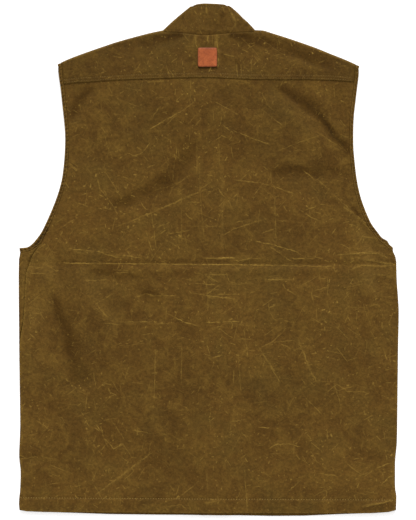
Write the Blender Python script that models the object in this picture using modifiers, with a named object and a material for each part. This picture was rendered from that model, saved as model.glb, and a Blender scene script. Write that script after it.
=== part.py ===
"""Upland vest of waxed canvas, laid flat on its front with the back up.

Sizes are in millimetres and become metres as each mesh is made. X runs to the right as the back is seen,
Y towards the collar, and Z up from the surface that the vest lies on. The wearer's left is at -X.

Each panel is a grid of points on its outer face, turned into a cloth wall by Solidify. The side, shoulder and
collar edges are folds: the cloth rolls from the top layer down to the floor layer round them.
"""

import math

import bmesh
import bpy

MM = 0.001

# Cloth walls and the gaps between pieces.
CLOTH = 1.3
HEM_CLOTH = 2.0
COLLAR_CLOTH = 2.0
PLACKET_CLOTH = 1.5
BINDING_CLOTH = 1.8
SEAM_GAP = 0.3
ROLLED_SEAM_GAP = 1.7
LAP_GAP = 0.5
STRIP_GAP = 0.7

# Heights of the top layer's outer face above the floor.
BODY_HEIGHT = 5.2
LEAST_HEIGHT = 4.1
EDGE_INSET = 2.6
YOKE_LAP = 10.0
YOKE_EASE = 0.9
YOKE_EASE_LENGTH = 45.0
SWELL_HEIGHT = 0.3
SWELL_ACROSS = 88.0
SWELL_UP = 112.0

# Centre front: the placket's band, the snap caps under it and the right front's edge above it.
CENTRE_FRONT = 2.6
PLACKET_LEFT = -14.5
PLACKET_RIGHT = 19.5
LAP_EDGE = -11.0
CAP_RADIUS = 7.0
CAP_HEIGHT = 1.1
CAP_FACE_RADIUS = 5.2
CAP_BEVEL_SHARE = 0.45
CAP_STEPS = 20
CAP_PLACES = (212.0, 108.0, 4.0, -100.0, -204.0, -308.0)
PLACKET_RISE = CAP_HEIGHT + SEAM_GAP
LAP_RISE = PLACKET_RISE + PLACKET_CLOTH + SEAM_GAP
RISE_LENGTH = 26.0
LAP_SWELL = 1.3
LAP_SWELL_LEFT = -36.0
LAP_SWELL_RIGHT = 44.0
LAP_SWELL_EASE = 28.0
LAP_TOP = 262.0
LAP_TOP_EASE = 30.0
LEAST_OVER_LAP = LAP_RISE + CLOTH + SEAM_GAP + CLOTH
LEAST_OVER_HEM = LAP_RISE + HEM_CLOTH + SEAM_GAP + HEM_CLOTH
HEM_TOP = -354.0
HEM_TOP_EASE = 26.0

# The right side seam lies underneath, and the yoke ends in a strip on the front.
SIDE_SEAM_UNDER = 12.0
YOKE_FRONT_STRIP = 22.0
STRIP_NECK_SHARE = 0.25
STRIP_ARMHOLE_SHARE = 0.12

# Leather patch on the yoke.
PATCH_CENTRE = (-1.9, 303.0)
PATCH_SIDE = 29.0
PATCH_CORNER = 2.0
PATCH_CORNER_PULL = 0.29
PATCH_THICKNESS = 1.7
PATCH_CROWN = 0.3
PATCH_CELLS = 8

# Side folds: rows of (y, distance from the centre line).
SIDE_EDGE = {
    -1: (
        (-376.0, 284.3), (-366.0, 284.9), (-343.0, 283.1), (-319.0, 282.4), (-295.0, 284.5),
        (-247.0, 283.1), (-175.0, 284.0), (-79.0, 284.8), (-31.0, 285.1), (-1.0, 284.8), (11.0, 282.9),
        (17.4, 284.3),
    ),
    1: (
        (-373.0, 281.3), (-355.0, 281.9), (-343.0, 279.8), (-307.0, 279.8), (-271.0, 282.7), (-199.0, 283.6),
        (-127.0, 284.5), (-79.0, 285.4), (-55.0, 284.2), (-31.0, 282.4), (-3.0, 281.6), (6.0, 279.5),
        (13.0, 276.6), (16.5, 277.0), (22.0, 273.8),
    ),
}

# Hem edges: rows of (x, y). The front's hem shows a little below the back's.
BACK_HEM = (
    (-284.0, -375.5), (-266.0, -378.3), (-223.0, -378.8), (-100.0, -379.6), (100.0, -380.3), (227.0, -380.6),
    (264.0, -379.4), (282.0, -375.5),
)
FRONT_HEM = (
    (-284.0, -375.5), (-266.0, -378.3), (-223.0, -379.3), (-166.0, -381.8), (53.0, -384.0), (102.0, -384.8),
    (165.0, -384.0), (193.0, -382.3), (234.0, -380.9), (264.0, -379.6), (282.0, -375.5),
)

# The left side seam: its upper part lies on the back and its lower part underneath.
# Rows of (y, distance from the centre line along the cloth).
LEFT_SEAM = (
    (-178.0, 296.0), (-162.0, 293.0), (-146.0, 288.6), (-130.0, 285.0), (-113.0, 281.8), (-98.0, 278.6),
    (-76.0, 277.1), (-38.0, 274.9), (-20.0, 273.9), (-11.0, 270.6), (-4.0, 268.1), (4.0, 265.1),
    (11.0, 261.0), (15.0, 258.0), (20.7, 253.2), (24.4, 250.6),
)
ROLLED_SEAM = ((-185.0, 0.0), (-170.0, 1.0), (-105.0, 1.0), (-90.0, 0.0))

# The yoke's lower edge: rows of (x, y).
YOKE_SEAM = (
    (-217.0, 262.4), (-195.0, 265.0), (-165.0, 267.0), (-139.0, 268.8), (-118.0, 270.0), (-3.0, 272.9),
    (66.0, 270.3), (138.0, 269.8), (183.0, 268.4), (217.0, 265.6),
)

# Outer edges of the armholes on the top layer, from the shoulder down to the underarm: rows of (x, y).
ARMHOLE_TOP = {
    -1: (
        (-225.9, 289.8), (-225.4, 281.0), (-222.2, 257.3), (-219.7, 233.3), (-217.1, 209.3), (-215.3, 185.3),
        (-215.4, 171.0), (-216.7, 149.3), (-219.4, 125.3), (-225.2, 101.3), (-234.1, 77.3), (-244.6, 53.3),
        (-252.1, 38.9),
    ),
    1: (
        (224.8, 287.2), (224.9, 281.0), (222.5, 257.3), (219.7, 233.3), (217.3, 209.3), (216.7, 185.3),
        (216.9, 171.0), (218.6, 149.3), (221.3, 125.3), (225.8, 101.3), (233.3, 77.3), (244.1, 53.3),
    ),
}

# The bindings at the underarm, where they turn to the side folds: (outer, inner) points on the top layer.
UNDERARM_TOP = {
    -1: (
        ((-258.2, 30.6), (-250.6, 24.4)), ((-265.0, 23.0), (-259.4, 18.6)), ((-271.5, 18.6), (-267.4, 13.4)),
        ((-277.0, 17.6), (-275.0, 11.4)),
    ),
    1: (((252.8, 41.4), (248.1, 37.6)), ((260.6, 32.0), (256.3, 27.4)), ((267.6, 28.0), (264.6, 21.0))),
}
UNDERARM_FLOOR = {-1: ((-268.0, 19.5), (-266.0, 12.0)), 1: ((262.5, 22.6), (261.8, 14.2))}
INNER_UNDERARM = {-1: 10.4, 1: 13.0}
OUTER_UNDERARM = {-1: 17.4, 1: 22.0}

# The armholes' edges on the floor layer, where the fronts are cut deeper, from the underarm to the shoulder.
ARMHOLE_FLOOR = {
    -1: (
        (-255.0, 28.0), (-240.0, 47.0), (-224.0, 72.0), (-211.0, 100.0), (-203.0, 130.0), (-200.5, 160.0),
        (-202.0, 190.0), (-207.0, 225.0), (-216.0, 262.0), (-225.9, 289.8),
    ),
    1: (
        (251.0, 30.0), (238.0, 47.0), (223.0, 72.0), (210.0, 100.0), (203.0, 130.0), (201.0, 160.0),
        (202.0, 190.0), (207.0, 225.0), (216.0, 262.0), (224.8, 287.2),
    ),
}

# Width of the binding: rows of (share of the way from shoulder to underarm, width).
BINDING_WIDTH = ((0.0, 5.5), (0.6, 6.0), (1.0, 6.4))

# Shoulder folds from the tip to the neck: rows of (x, y).
SHOULDER = {
    -1: (
        (-227.2, 292.5), (-213.5, 299.2), (-190.4, 308.2), (-164.8, 317.2), (-137.8, 326.2), (-105.7, 335.2),
        (-88.1, 339.7), (-68.6, 343.8),
    ),
    1: (
        (226.3, 289.8), (205.9, 299.2), (183.4, 308.2), (161.2, 317.2), (136.0, 326.2), (108.8, 335.2),
        (93.4, 340.0), (80.5, 343.7), (69.4, 344.2),
    ),
}
NECK_CORNER_NORMAL = {-1: (-0.49, 0.87), 1: (0.49, 0.87)}
NECK_BLEND_SHARE = 0.12
SHOULDER_INSET = 3.0

# Neck seam between collar and yoke on the top layer, and between collar and fronts on the floor layer.
NECK_DIP_Y = 249.5
NECK_DIP_RISE = 2.1
NECK_BACK = (
    (-67.0, 341.2), (-54.0, 341.0), (-40.1, 339.8), (-28.1, 338.2), (-7.1, 336.5), (16.9, 338.2),
    (33.4, 339.8), (54.0, 341.4), (67.8, 341.6),
)
NECK_FRONT = {
    -1: (
        (-67.0, 341.2), (-65.5, 325.0), (-61.0, 300.0), (-50.0, 277.0), (-33.0, 260.0), (-14.5, 251.6),
        (CENTRE_FRONT, NECK_DIP_Y),
    ),
    1: (
        (67.8, 341.6), (66.6, 325.0), (62.6, 300.0), (52.5, 277.0), (37.0, 260.0), (19.5, 251.6),
        (CENTRE_FRONT, NECK_DIP_Y),
    ),
}

# Collar: its folded sides, its top edge on the back and its top edge on the front.
COLLAR_SIDE = {
    -1: ((-68.6, 343.8), (-53.6, 357.8), (-43.1, 366.8), (-34.1, 374.2), (-28.1, 378.8)),
    1: ((69.4, 344.2), (58.9, 355.5), (51.4, 362.2), (43.9, 369.8), (36.5, 375.8), (30.6, 379.2)),
}
COLLAR_TOP = ((-25.0, 378.8), (-18.6, 381.3), (-5.6, 384.0), (9.4, 383.7), (21.9, 382.4), (27.4, 379.6))
COLLAR_FRONT_TOP = {
    -1: ((-25.0, 378.8), (-22.0, 345.0), (-12.0, 314.0), (CENTRE_FRONT - 0.6, 293.0)),
    1: ((27.4, 379.6), (24.0, 346.0), (15.0, 315.0), (CENTRE_FRONT + 0.6, 293.0)),
}
COLLAR_STEP = 0.5
COLLAR_EDGE_HEIGHT = 6.6
COLLAR_BULGE = 1.0
COLLAR_CORNER_GAP = 1.0
COLLAR_TOP_HEADING = 0.05
COLLAR_BASE_TURN_SHARE = 0.35

# Largest folds of the back: soft ridges, and troughs where the height is negative, along straight
# stretches. Columns: x and y of one end, x and y of the other, half width, height.
FOLDS = (
    (108.0, 257.0, 152.0, 228.0, 11.0, -1.2),
    (152.0, 228.0, 206.0, 162.0, 12.0, -1.3),
    (92.0, 236.0, 176.0, 168.0, 14.0, 1.0),
    (102.0, 134.0, 212.0, 127.0, 10.0, -0.8),
    (-187.0, 257.0, -206.0, 218.0, 9.0, -0.9),
    (-141.0, 82.0, -70.0, 110.0, 13.0, -0.8),
    (-70.0, 110.0, -22.0, 166.0, 13.0, -0.8),
    (-243.0, -23.0, -218.0, -80.0, 13.0, -0.9),
    (-218.0, -80.0, -193.0, -178.0, 14.0, -0.9),
    (-255.0, -95.0, -236.0, -170.0, 12.0, 0.6),
    (-286.0, -6.0, 286.0, -8.0, 5.0, -0.9),
    (-190.0, -16.0, 190.0, -16.0, 6.0, 0.6),
    (-178.0, -19.0, -140.0, -33.0, 10.0, -0.7),
    (-104.0, -46.0, -74.0, -62.0, 11.0, -0.7),
    (-42.0, 337.0, -94.0, 323.0, 7.0, -1.0),
    (36.0, 336.0, 84.0, 326.0, 7.0, -1.1),
    (84.0, 326.0, 176.0, 292.0, 8.0, -1.0),
    (196.0, -140.0, 224.0, -178.0, 15.0, -0.7),
    (-282.0, -299.0, -246.0, -301.0, 6.0, -0.8),
    (228.0, -372.0, 280.0, -360.0, 5.0, 0.7),
    (6.0, 250.0, 24.0, 262.0, 24.0, 1.0),
)

# Rows of the panels below the underarm, from the hem up.
BODY_ROWS = (
    -367.0, -356.5, -353.0, -336.0, -318.0, -300.0, -278.0, -254.0, -230.0, -206.0, -184.0, -172.0, -160.0,
    -148.0, -136.0, -124.0, -110.0, -92.0, -74.0, -56.0, -40.0, -28.0, -20.0,
)
HEM_ROWS = 3
PLACKET_TOP_ROWS = (50.0, 100.0, 150.0, 200.0)

# Rows at the underarm, which fan out round its corner. Back: (y of the left seam, share of the way from the
# right seam to the right fold, y at the right, y in the middle).
BACK_FAN = (
    (-13.0, 0.0, -10.0, -15.0), (-7.0, 0.0, 2.0, -10.5), (-1.0, 0.0, 12.7, -6.0), (3.5, 0.59, 12.7, -2.0),
    (7.5, 0.73, 12.7, 2.5), (11.0, 0.865, 12.7, 7.5),
)
BACK_FAN_LEFT_TOP = (14.5, 18.0, 21.0)
BACK_FAN_MIDDLE_TOP = (13.5, 20.5, 29.0, 39.0)
# Left front: (y of the seam, y in the middle), then y in the middle where the rows end on the binding.
LEFT_FAN = (
    (-20.0, -25.0), (-13.0, -22.5), (-7.0, -20.5), (-1.0, -18.5), (3.5, -17.0), (7.5, -15.8),
    (11.0, -14.7), (14.5, -13.5), (18.0, -12.3), (21.0, -11.2),
)
LEFT_FAN_BINDING = (-10.0, -7.5, -4.6, -2.6, -0.6, 1.5, 4.0, 6.0, 13.3)
# Right front: (y of the seam, y in the middle), then y in the middle where the first row ends on the binding.
RIGHT_FAN = ((-20.0, -20.0), (-10.0, -12.0), (2.0, -4.0), (12.7, 5.0))
RIGHT_FAN_BINDING = (15.0,)
FAN_LENGTH = 60.0
LEFT_FRONT_FAN_LENGTH = 100.0
CENTRE_ROW_POWER = 1.5
FLOOR_FAN_RISE = 8.0

# How many cells each stretch takes.
ARMHOLE_CELLS = 13
FLOOR_ARMHOLE_CELLS = 11
YOKE_CELLS = 5
ROLL_CELLS = 4
MAIN_COLUMNS = 22
LEAST_RIM_CELL = 1.9
SHOULDER_COLUMNS = 9
NECK_COLUMNS = 10
FRONT_NECK_ROWS = 7
COLLAR_ROWS = 5
COLLAR_BACK_COLUMNS = 14
COLLAR_CORNER_COLUMNS = 3
PLACKET_COLUMNS = 5
ARMHOLE_SEARCH_STEPS = 400

# Columns at the sides: shares of the side's roll, and distances from the seam, the roll and the centre front.
BACK_ROLL_SHARES = {-1: (1.0, 0.6, 0.25, 0.0), 1: (1.0, 0.67, 0.33, 0.0)}
BACK_COLUMN_INSET = 9.0
FRONT_ROLL_SHARES = (0.25, 0.5, 0.75, 1.0)
FRONT_COLUMN_INSET = 25.0
FRONT_SEAM_COLUMNS = (8.0, 26.0)
FRONT_MIDDLE_SHARES = (0.25, 0.5, 0.75)
RISE_PLACES = {-1: (0.0, 9.0, 18.0, 27.0), 1: (0.0, 16.0, 31.0, 40.0, 49.0, 58.0)}

# Section of the bindings: the shares of the width, and how far the edges round off.
BINDING_SHARES = (0.0, 0.15, 0.5, 0.85, 1.0)
BINDING_ROUNDING = 0.5

# Linear colours and roughness.
CANVAS_COLOUR = (0.107, 0.060, 0.013, 1.0)
CANVAS_ROUGHNESS = 0.75
LEATHER_COLOUR = (0.42, 0.105, 0.036, 1.0)
LEATHER_ROUGHNESS = 0.55
SNAP_COLOUR = (0.21, 0.15, 0.09, 1.0)
SNAP_ROUGHNESS = 0.4


def clear_scene():
    for old in list(bpy.data.objects):
        bpy.data.objects.remove(old, do_unlink=True)


def read(table, at):
    """The smooth value at a place in a table of (place, value) rows, without overshoot between them."""
    if at <= table[0][0]:
        return table[0][1]
    if at >= table[-1][0]:
        return table[-1][1]
    k = max(i for i in range(len(table) - 1) if table[i][0] <= at)
    width = table[k + 1][0] - table[k][0]
    share = (at - table[k][0]) / width
    start_slope = slope_at(table, k)
    end_slope = slope_at(table, k + 1)
    square, cube = share**2, share**3
    return (
        table[k][1] * (2 * cube - 3 * square + 1)
        + start_slope * width * (cube - 2 * square + share)
        + table[k + 1][1] * (3 * square - 2 * cube)
        + end_slope * width * (cube - square)
    )


def slope_at(table, k):
    """The slope of a table's curve at row k: the harmonic mean of those beside it, or level at a turn."""
    slopes = []
    for i in (k - 1, k):
        if 0 <= i < len(table) - 1:
            slopes.append((table[i + 1][1] - table[i][1]) / (table[i + 1][0] - table[i][0]))
    if len(slopes) == 1:
        return slopes[0]
    if slopes[0] * slopes[1] <= 0:
        return 0.0
    return 2 * slopes[0] * slopes[1] / (slopes[0] + slopes[1])


class Path:
    """A smooth curve through (x, y) points, read by the share of its length."""

    def __init__(self, points):
        lengths = [0.0]
        for before, after in zip(points, points[1:]):
            lengths.append(lengths[-1] + math.dist(before, after))
        self.length = lengths[-1]
        self.across = [(length, point[0]) for length, point in zip(lengths, points)]
        self.up = [(length, point[1]) for length, point in zip(lengths, points)]

    def at(self, share):
        length = share * self.length
        return read(self.across, length), read(self.up, length)

    def heading(self, share):
        before = self.at(max(share - 0.01, 0.0))
        after = self.at(min(share + 0.01, 1.0))
        long = math.dist(before, after)
        return (after[0] - before[0]) / long, (after[1] - before[1]) / long


def mix(a, b, share):
    return a + (b - a) * share


def mix_points(a, b, share):
    return tuple(mix(p, q, share) for p, q in zip(a, b))


def ease(share):
    """A smooth step from 0 to 1."""
    share = min(max(share, 0.0), 1.0)
    return share * share * (3 - 2 * share)


def fold_height(x, y):
    """The sum of the ridges and troughs at a place."""
    total = 0.0
    for x0, y0, x1, y1, half_width, height in FOLDS:
        along_x, along_y = x1 - x0, y1 - y0
        share = ((x - x0) * along_x + (y - y0) * along_y) / (along_x**2 + along_y**2)
        share = min(max(share, 0.0), 1.0)
        away = math.hypot(x - x0 - share * along_x, y - y0 - share * along_y)
        if away < 3 * half_width:
            total += height * math.exp(-((away / half_width) ** 2))
    return total


def over_lap(x, y):
    """1 over the placket and the right front's edge, easing to 0 beside and above them."""
    left = ease((x - LAP_SWELL_LEFT + LAP_SWELL_EASE) / LAP_SWELL_EASE)
    right = ease((LAP_SWELL_RIGHT + LAP_SWELL_EASE - x) / LAP_SWELL_EASE)
    top = 1 - ease((y - LAP_TOP) / LAP_TOP_EASE)
    return min(left, right) * top


def top_height(x, y):
    """Height of the back panel's outer face."""
    swell = SWELL_HEIGHT * math.sin(x / SWELL_ACROSS + 1.0) * math.cos(y / SWELL_UP)
    above_yoke_seam = ease((y - read(YOKE_SEAM, x) - YOKE_LAP) / YOKE_EASE_LENGTH)
    lap = over_lap(x, y)
    at_hem = 1 - ease((y - HEM_TOP) / HEM_TOP_EASE)
    least = mix(LEAST_HEIGHT, mix(LEAST_OVER_LAP, LEAST_OVER_HEM, at_hem), lap)
    loose = BODY_HEIGHT + swell + fold_height(x, y) - YOKE_EASE * above_yoke_seam + LAP_SWELL * lap
    return max(loose, least)


def yoke_height(x, y):
    """Height of the yoke's outer face, which laps over the back panel."""
    return top_height(x, y) + CLOTH + LAP_GAP


def front_rise(side, x):
    """Height of the fronts' outer face above the floor, which is more than 0 only beside the centre front."""
    if side < 0:
        return PLACKET_RISE * ease((x - PLACKET_LEFT + RISE_LENGTH) / RISE_LENGTH)
    return LAP_RISE * ease((PLACKET_RIGHT + 1.0 + RISE_LENGTH - x) / RISE_LENGTH)


def roll_radius(side, y):
    edge = read(SIDE_EDGE[side], y)
    return top_height(side * (edge - EDGE_INSET), y) / 2


def roll_start(side, y):
    """Distance from the centre line where the top layer begins to roll over the side."""
    return read(SIDE_EDGE[side], y) - roll_radius(side, y)


def cloth_point(side, reach, y):
    """A point of the outer face by its distance from the centre line along the cloth: on top, round the side
    fold and back along the floor."""
    radius = roll_radius(side, y)
    past = reach - roll_start(side, y)
    if past <= 0:
        return side * reach, y, top_height(side * reach, y)
    angle = past / radius
    if angle < math.pi:
        x = side * (reach - past + radius * math.sin(angle))
        return x, y, radius + radius * math.cos(angle)
    x = side * (reach - past - (past - math.pi * radius))
    return x, y, front_rise(side, x)


def floor_reach(side, x, y):
    """The reach of a point on the floor layer."""
    return 2 * roll_start(side, y) + math.pi * roll_radius(side, y) - side * x


def fan(distance, length):
    """How much of a row's shift in y at its end is left at this distance from the end."""
    return (1 - min(distance / length, 1.0)) ** 3


def shoulder_normal(side, share):
    """Outward direction across the shoulder fold, turning to the collar's at the neck."""
    along_x, along_y = Path(SHOULDER[side]).heading(share)
    normal = (-along_y, along_x) if side < 0 else (along_y, -along_x)
    blend = ease((share - 1 + NECK_BLEND_SHARE) / NECK_BLEND_SHARE)
    turned = mix_points(normal, NECK_CORNER_NORMAL[side], blend)
    long = math.hypot(*turned)
    return turned[0] / long, turned[1] / long


def shoulder_point(side, share, angle):
    """A point on the shoulder's roll: angle 0 is where it leaves the top, and pi where it meets the floor."""
    edge = Path(SHOULDER[side]).at(share)
    normal = shoulder_normal(side, share)
    inside = (edge[0] - normal[0] * SHOULDER_INSET, edge[1] - normal[1] * SHOULDER_INSET)
    radius = yoke_height(*inside) / 2
    out = radius * (math.sin(angle) - 1)
    return edge[0] + normal[0] * out, edge[1] + normal[1] * out, radius + radius * math.cos(angle)


def binding_edges(side, path, share, width):
    """(outer, inner) edge points of the binding in plan."""
    outer = path.at(share)
    along_x, along_y = path.heading(share)
    inward = (-along_y, along_x) if side < 0 else (along_y, -along_x)
    return outer, (outer[0] + inward[0] * width, outer[1] + inward[1] * width)


def seam_share(side):
    """Where the yoke's lower edge meets the armhole, as a share of the armhole's length on the top layer."""
    path = Path(ARMHOLE_TOP[side])
    seam_y = YOKE_SEAM[0][1] if side < 0 else YOKE_SEAM[-1][1]
    shares = [k / ARMHOLE_SEARCH_STEPS for k in range(ARMHOLE_SEARCH_STEPS)]
    return min((abs(path.at(share)[1] - seam_y), share) for share in shares)[1]


def fold_station(side):
    """(outer, inner) plan points of the binding where it reaches the side fold."""
    outer_y, inner_y = OUTER_UNDERARM[side], INNER_UNDERARM[side]
    return (side * roll_start(side, outer_y), outer_y), (side * roll_start(side, inner_y), inner_y)


def top_stations(side):
    """(outer, inner) plan points of the binding on the top layer, from the shoulder to the side fold."""
    path = Path(ARMHOLE_TOP[side])
    seam = seam_share(side)
    shares = [seam * k / YOKE_CELLS for k in range(YOKE_CELLS)]
    shares += [mix(seam, 1.0, k / ARMHOLE_CELLS) for k in range(ARMHOLE_CELLS + 1)]
    stations = [binding_edges(side, path, share, read(BINDING_WIDTH, share)) for share in shares]
    stations[0] = tuple(point[:2] for point in shoulder_station(side, 0.0))
    return stations + list(UNDERARM_TOP[side]) + [fold_station(side)]


def shoulder_station(side, angle):
    """(outer, inner) points of the binding on the shoulder's roll."""
    inner_share = BINDING_WIDTH[0][1] / Path(SHOULDER[side]).length
    return shoulder_point(side, 0.0, angle), shoulder_point(side, inner_share, angle)


def floor_stations(side):
    """(outer, inner) plan points of the binding on the floor layer, from the side fold to the shoulder."""
    path = Path(ARMHOLE_FLOOR[side])
    stations = [fold_station(side), UNDERARM_FLOOR[side]]
    last_share = 1 - YOKE_FRONT_STRIP / path.length
    for share in [last_share * k / (FLOOR_ARMHOLE_CELLS - 1) for k in range(FLOOR_ARMHOLE_CELLS)] + [1.0]:
        outer = path.at(share)
        along_x, along_y = path.heading(share)
        inward = (along_y, -along_x) if side < 0 else (-along_y, along_x)
        width = read(BINDING_WIDTH, 1 - share)
        stations.append((outer, (outer[0] + inward[0] * width, outer[1] + inward[1] * width)))
    stations[-1] = tuple(point[:2] for point in shoulder_station(side, math.pi))
    return stations


def beside(station, gap):
    """A panel's edge point, a gap away from the binding's inner edge."""
    outer, inner = station
    long = math.dist(outer, inner)
    return tuple(b + (b - a) / long * gap for a, b in zip(outer, inner))


def new_material(name, colour, roughness, metallic):
    material = bpy.data.materials.new(name)
    material.use_nodes = True
    shader = material.node_tree.nodes["Principled BSDF"]
    shader.inputs["Base Color"].default_value = colour
    shader.inputs["Roughness"].default_value = roughness
    shader.inputs["Metallic"].default_value = metallic
    return material


def canvas(name):
    return new_material(name + "_canvas", CANVAS_COLOUR, CANVAS_ROUGHNESS, 0.0)


def new_object(name, mesh, material):
    piece = bpy.data.objects.new(name, mesh)
    mesh.materials.append(material)
    bpy.data.collections["upland_vest"].objects.link(piece)
    return piece


def grid_mesh(name, rows):
    """A grid whose points are rows of (x, y, z). A cell with a missing corner is left open."""
    columns = len(rows[0])
    mesh = bpy.data.meshes.new(name)
    grid = bmesh.new()
    bmesh.ops.create_grid(grid, x_segments=columns - 1, y_segments=len(rows) - 1, size=0.5)
    missing = []
    for vertex in grid.verts:
        i = round((vertex.co.x + 0.5) * (columns - 1))
        j = round((vertex.co.y + 0.5) * (len(rows) - 1))
        if rows[j][i] is None:
            missing.append(vertex)
        else:
            vertex.co = [value * MM for value in rows[j][i]]
    bmesh.ops.delete(grid, geom=missing, context="VERTS")
    bmesh.ops.remove_doubles(grid, verts=grid.verts, dist=0.00002)
    grid.to_mesh(mesh)
    grid.free()
    mesh.shade_smooth()
    return mesh


def cloth_piece(name, rows, thickness, material, hem_rows=0):
    """A cloth wall of this thickness inside the given outer face. The hem's first rows are thicker."""
    columns = len(rows[0])
    piece = new_object(name, grid_mesh(name, rows), material)
    solidify = piece.modifiers.new("wall", "SOLIDIFY")
    solidify.thickness = max(thickness, HEM_CLOTH if hem_rows else 0.0) * MM
    solidify.offset = -1.0
    if hem_rows:
        group = piece.vertex_groups.new(name="wall")
        group.add(list(range(hem_rows * columns)), 1.0, "REPLACE")
        group.add(list(range(hem_rows * columns, len(piece.data.vertices))), thickness / HEM_CLOTH, "REPLACE")
        solidify.vertex_group = "wall"
    return piece


def side_seam_end(side, y):
    """Reach of the side seam: on the left it climbs onto the back, and on the right it lies underneath."""
    if side < 0:
        return read(LEFT_SEAM, y)
    return roll_start(1, y) + math.pi * roll_radius(1, y) + SIDE_SEAM_UNDER


def rim_columns(side, end, y, shares):
    """Reaches of the columns at a side: the row's end, shares of the side's roll, and one inside it. Where
    the cloth ends short of them they are closely spaced."""
    start = roll_start(side, y)
    half_turn = math.pi * roll_radius(side, y)
    targets = [end] + [start + share * half_turn for share in shares] + [start - BACK_COLUMN_INSET]
    return [min(target, end - LEAST_RIM_CELL * k) for k, target in enumerate(targets)]


def back_ends():
    """(left end, right end, middle y) of each row of the back panel, the ends as (reach, y) pairs."""
    ends = []
    for y in BODY_ROWS:
        ends.append(((side_seam_end(-1, y), y), (side_seam_end(1, y), y), y))
    crossing_y = INNER_UNDERARM[1] - SEAM_GAP
    for left_y, share, right_y, middle_y in BACK_FAN:
        right_reach = mix(side_seam_end(1, right_y), roll_start(1, crossing_y), share)
        ends.append(((read(LEFT_SEAM, left_y), left_y), (right_reach, right_y), middle_y))
    left_stations = top_stations(-1)[YOKE_CELLS:YOKE_CELLS + ARMHOLE_CELLS + 2]
    left = [beside(station, SEAM_GAP) for station in left_stations]
    right = [beside(station, SEAM_GAP) for station in top_stations(1)[YOKE_CELLS:]]
    left_reaches = [(-x, y) for x, y in left]
    left_reaches += [(read(LEFT_SEAM, y), y) for y in reversed(BACK_FAN_LEFT_TOP)]
    middles = list(reversed(BACK_FAN_MIDDLE_TOP))
    rise = [mix(read(YOKE_SEAM, 0.0), middles[0], k / (ARMHOLE_CELLS + 1)) for k in range(ARMHOLE_CELLS + 1)]
    for left_end, right_end, middle_y in reversed(list(zip(left_reaches, right, rise + middles))):
        ends.append((left_end, right_end, middle_y))
    return ends


def build_back_panel():
    rows = []
    for left_end, right_end, middle_y in back_ends():
        left = rim_columns(-1, left_end[0], left_end[1], BACK_ROLL_SHARES[-1])
        right = rim_columns(1, right_end[0], right_end[1], BACK_ROLL_SHARES[1])
        reaches = [-reach for reach in left[:-1]]
        reaches += [mix(-left[-1], right[-1], k / MAIN_COLUMNS) for k in range(MAIN_COLUMNS + 1)]
        reaches += list(reversed(right[:-1]))
        row = []
        for reach in reaches:
            y = middle_y + (left_end[1] - middle_y) * fan(reach + left_end[0], FAN_LENGTH)
            y += (right_end[1] - middle_y) * fan(right_end[0] - reach, FAN_LENGTH)
            row.append((reach, y))
        rows.append(row)
    lap = [(reach, y + YOKE_LAP) for reach, y in rows[-1]]
    hem = [(reach, read(BACK_HEM, reach)) for reach, y in rows[0]]
    rows = [hem] + rows + [lap]
    points = [[cloth_point(-1 if reach < 0 else 1, abs(reach), y) for reach, y in row] for row in rows]
    points[0] = [(x, y, z) for (x, _, z), (_, y) in zip(points[1], hem)]
    cloth_piece("back_panel", points, CLOTH, canvas("back_panel"), hem_rows=HEM_ROWS)


def build_fronts():
    for side, name in ((-1, "front_left"), (1, "front_right")):
        rows = front_rows(side)
        if side > 0:
            rows = [list(reversed(row)) for row in rows]
        cloth_piece(name, rows, CLOTH, canvas(name), hem_rows=HEM_ROWS)


def front_ends(side):
    """(reach, y) of the outer end of each of a front's rows and y in its middle, from the hem to the yoke's
    strip."""
    ends = []
    fan_rows = LEFT_FAN if side < 0 else RIGHT_FAN
    for y, middle_y in [(y, y) for y in BODY_ROWS[:-1]] + list(fan_rows):
        gap = mix(SEAM_GAP, ROLLED_SEAM_GAP, read(ROLLED_SEAM, y)) if side < 0 else SEAM_GAP
        ends.append((side_seam_end(side, y) + gap, y, middle_y))
    stations = floor_stations(side)
    if side < 0:
        binding = [(-x, y) for x, y in (beside(station, SEAM_GAP) for station in UNDERARM_TOP[side])]
        binding[0] = (binding[0][0] + SEAM_GAP, binding[0][1] - SEAM_GAP)
        y = INNER_UNDERARM[side] - SEAM_GAP
        start = roll_start(side, y)
        half_turn = math.pi * roll_radius(side, y)
        binding += [(start + half_turn * k / 3, y) for k in range(4)]
        fan_heights = LEFT_FAN_BINDING
    else:
        binding = []
        fan_heights = RIGHT_FAN_BINDING
    x, y = beside(stations[1], SEAM_GAP)
    binding.append((floor_reach(side, x, y), y))
    ends += [(reach, y, middle_y) for (reach, y), middle_y in zip(binding, fan_heights)]
    for k, station in enumerate(stations[2:-1]):
        x, y = beside(station, SEAM_GAP)
        ends.append((floor_reach(side, x, y), y, y + FLOOR_FAN_RISE * (1 - k / FLOOR_ARMHOLE_CELLS)))
    return ends


def neck_shares(side):
    """Places along the front neck seam where the collar's columns meet the front's rows, from the shoulder
    down."""
    neck = Path(NECK_FRONT[side])
    strip = YOKE_FRONT_STRIP / neck.length + 0.004
    inside = PLACKET_LEFT - SEAM_GAP if side < 0 else CENTRE_FRONT + 4.0
    shares = [k / ARMHOLE_SEARCH_STEPS for k in range(ARMHOLE_SEARCH_STEPS + 1)]
    last = min((abs(neck.at(share)[0] - inside), share) for share in shares)[1]
    return [mix(strip, last, k / (FRONT_NECK_ROWS - 1)) for k in range(FRONT_NECK_ROWS)]


def neck_end(side, share):
    """A front's edge point beside the neck seam."""
    neck = Path(NECK_FRONT[side])
    x, y = neck.at(share)
    along_x, along_y = neck.heading(share)
    return x + side * abs(along_y) * SEAM_GAP, y - abs(along_x) * SEAM_GAP


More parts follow.
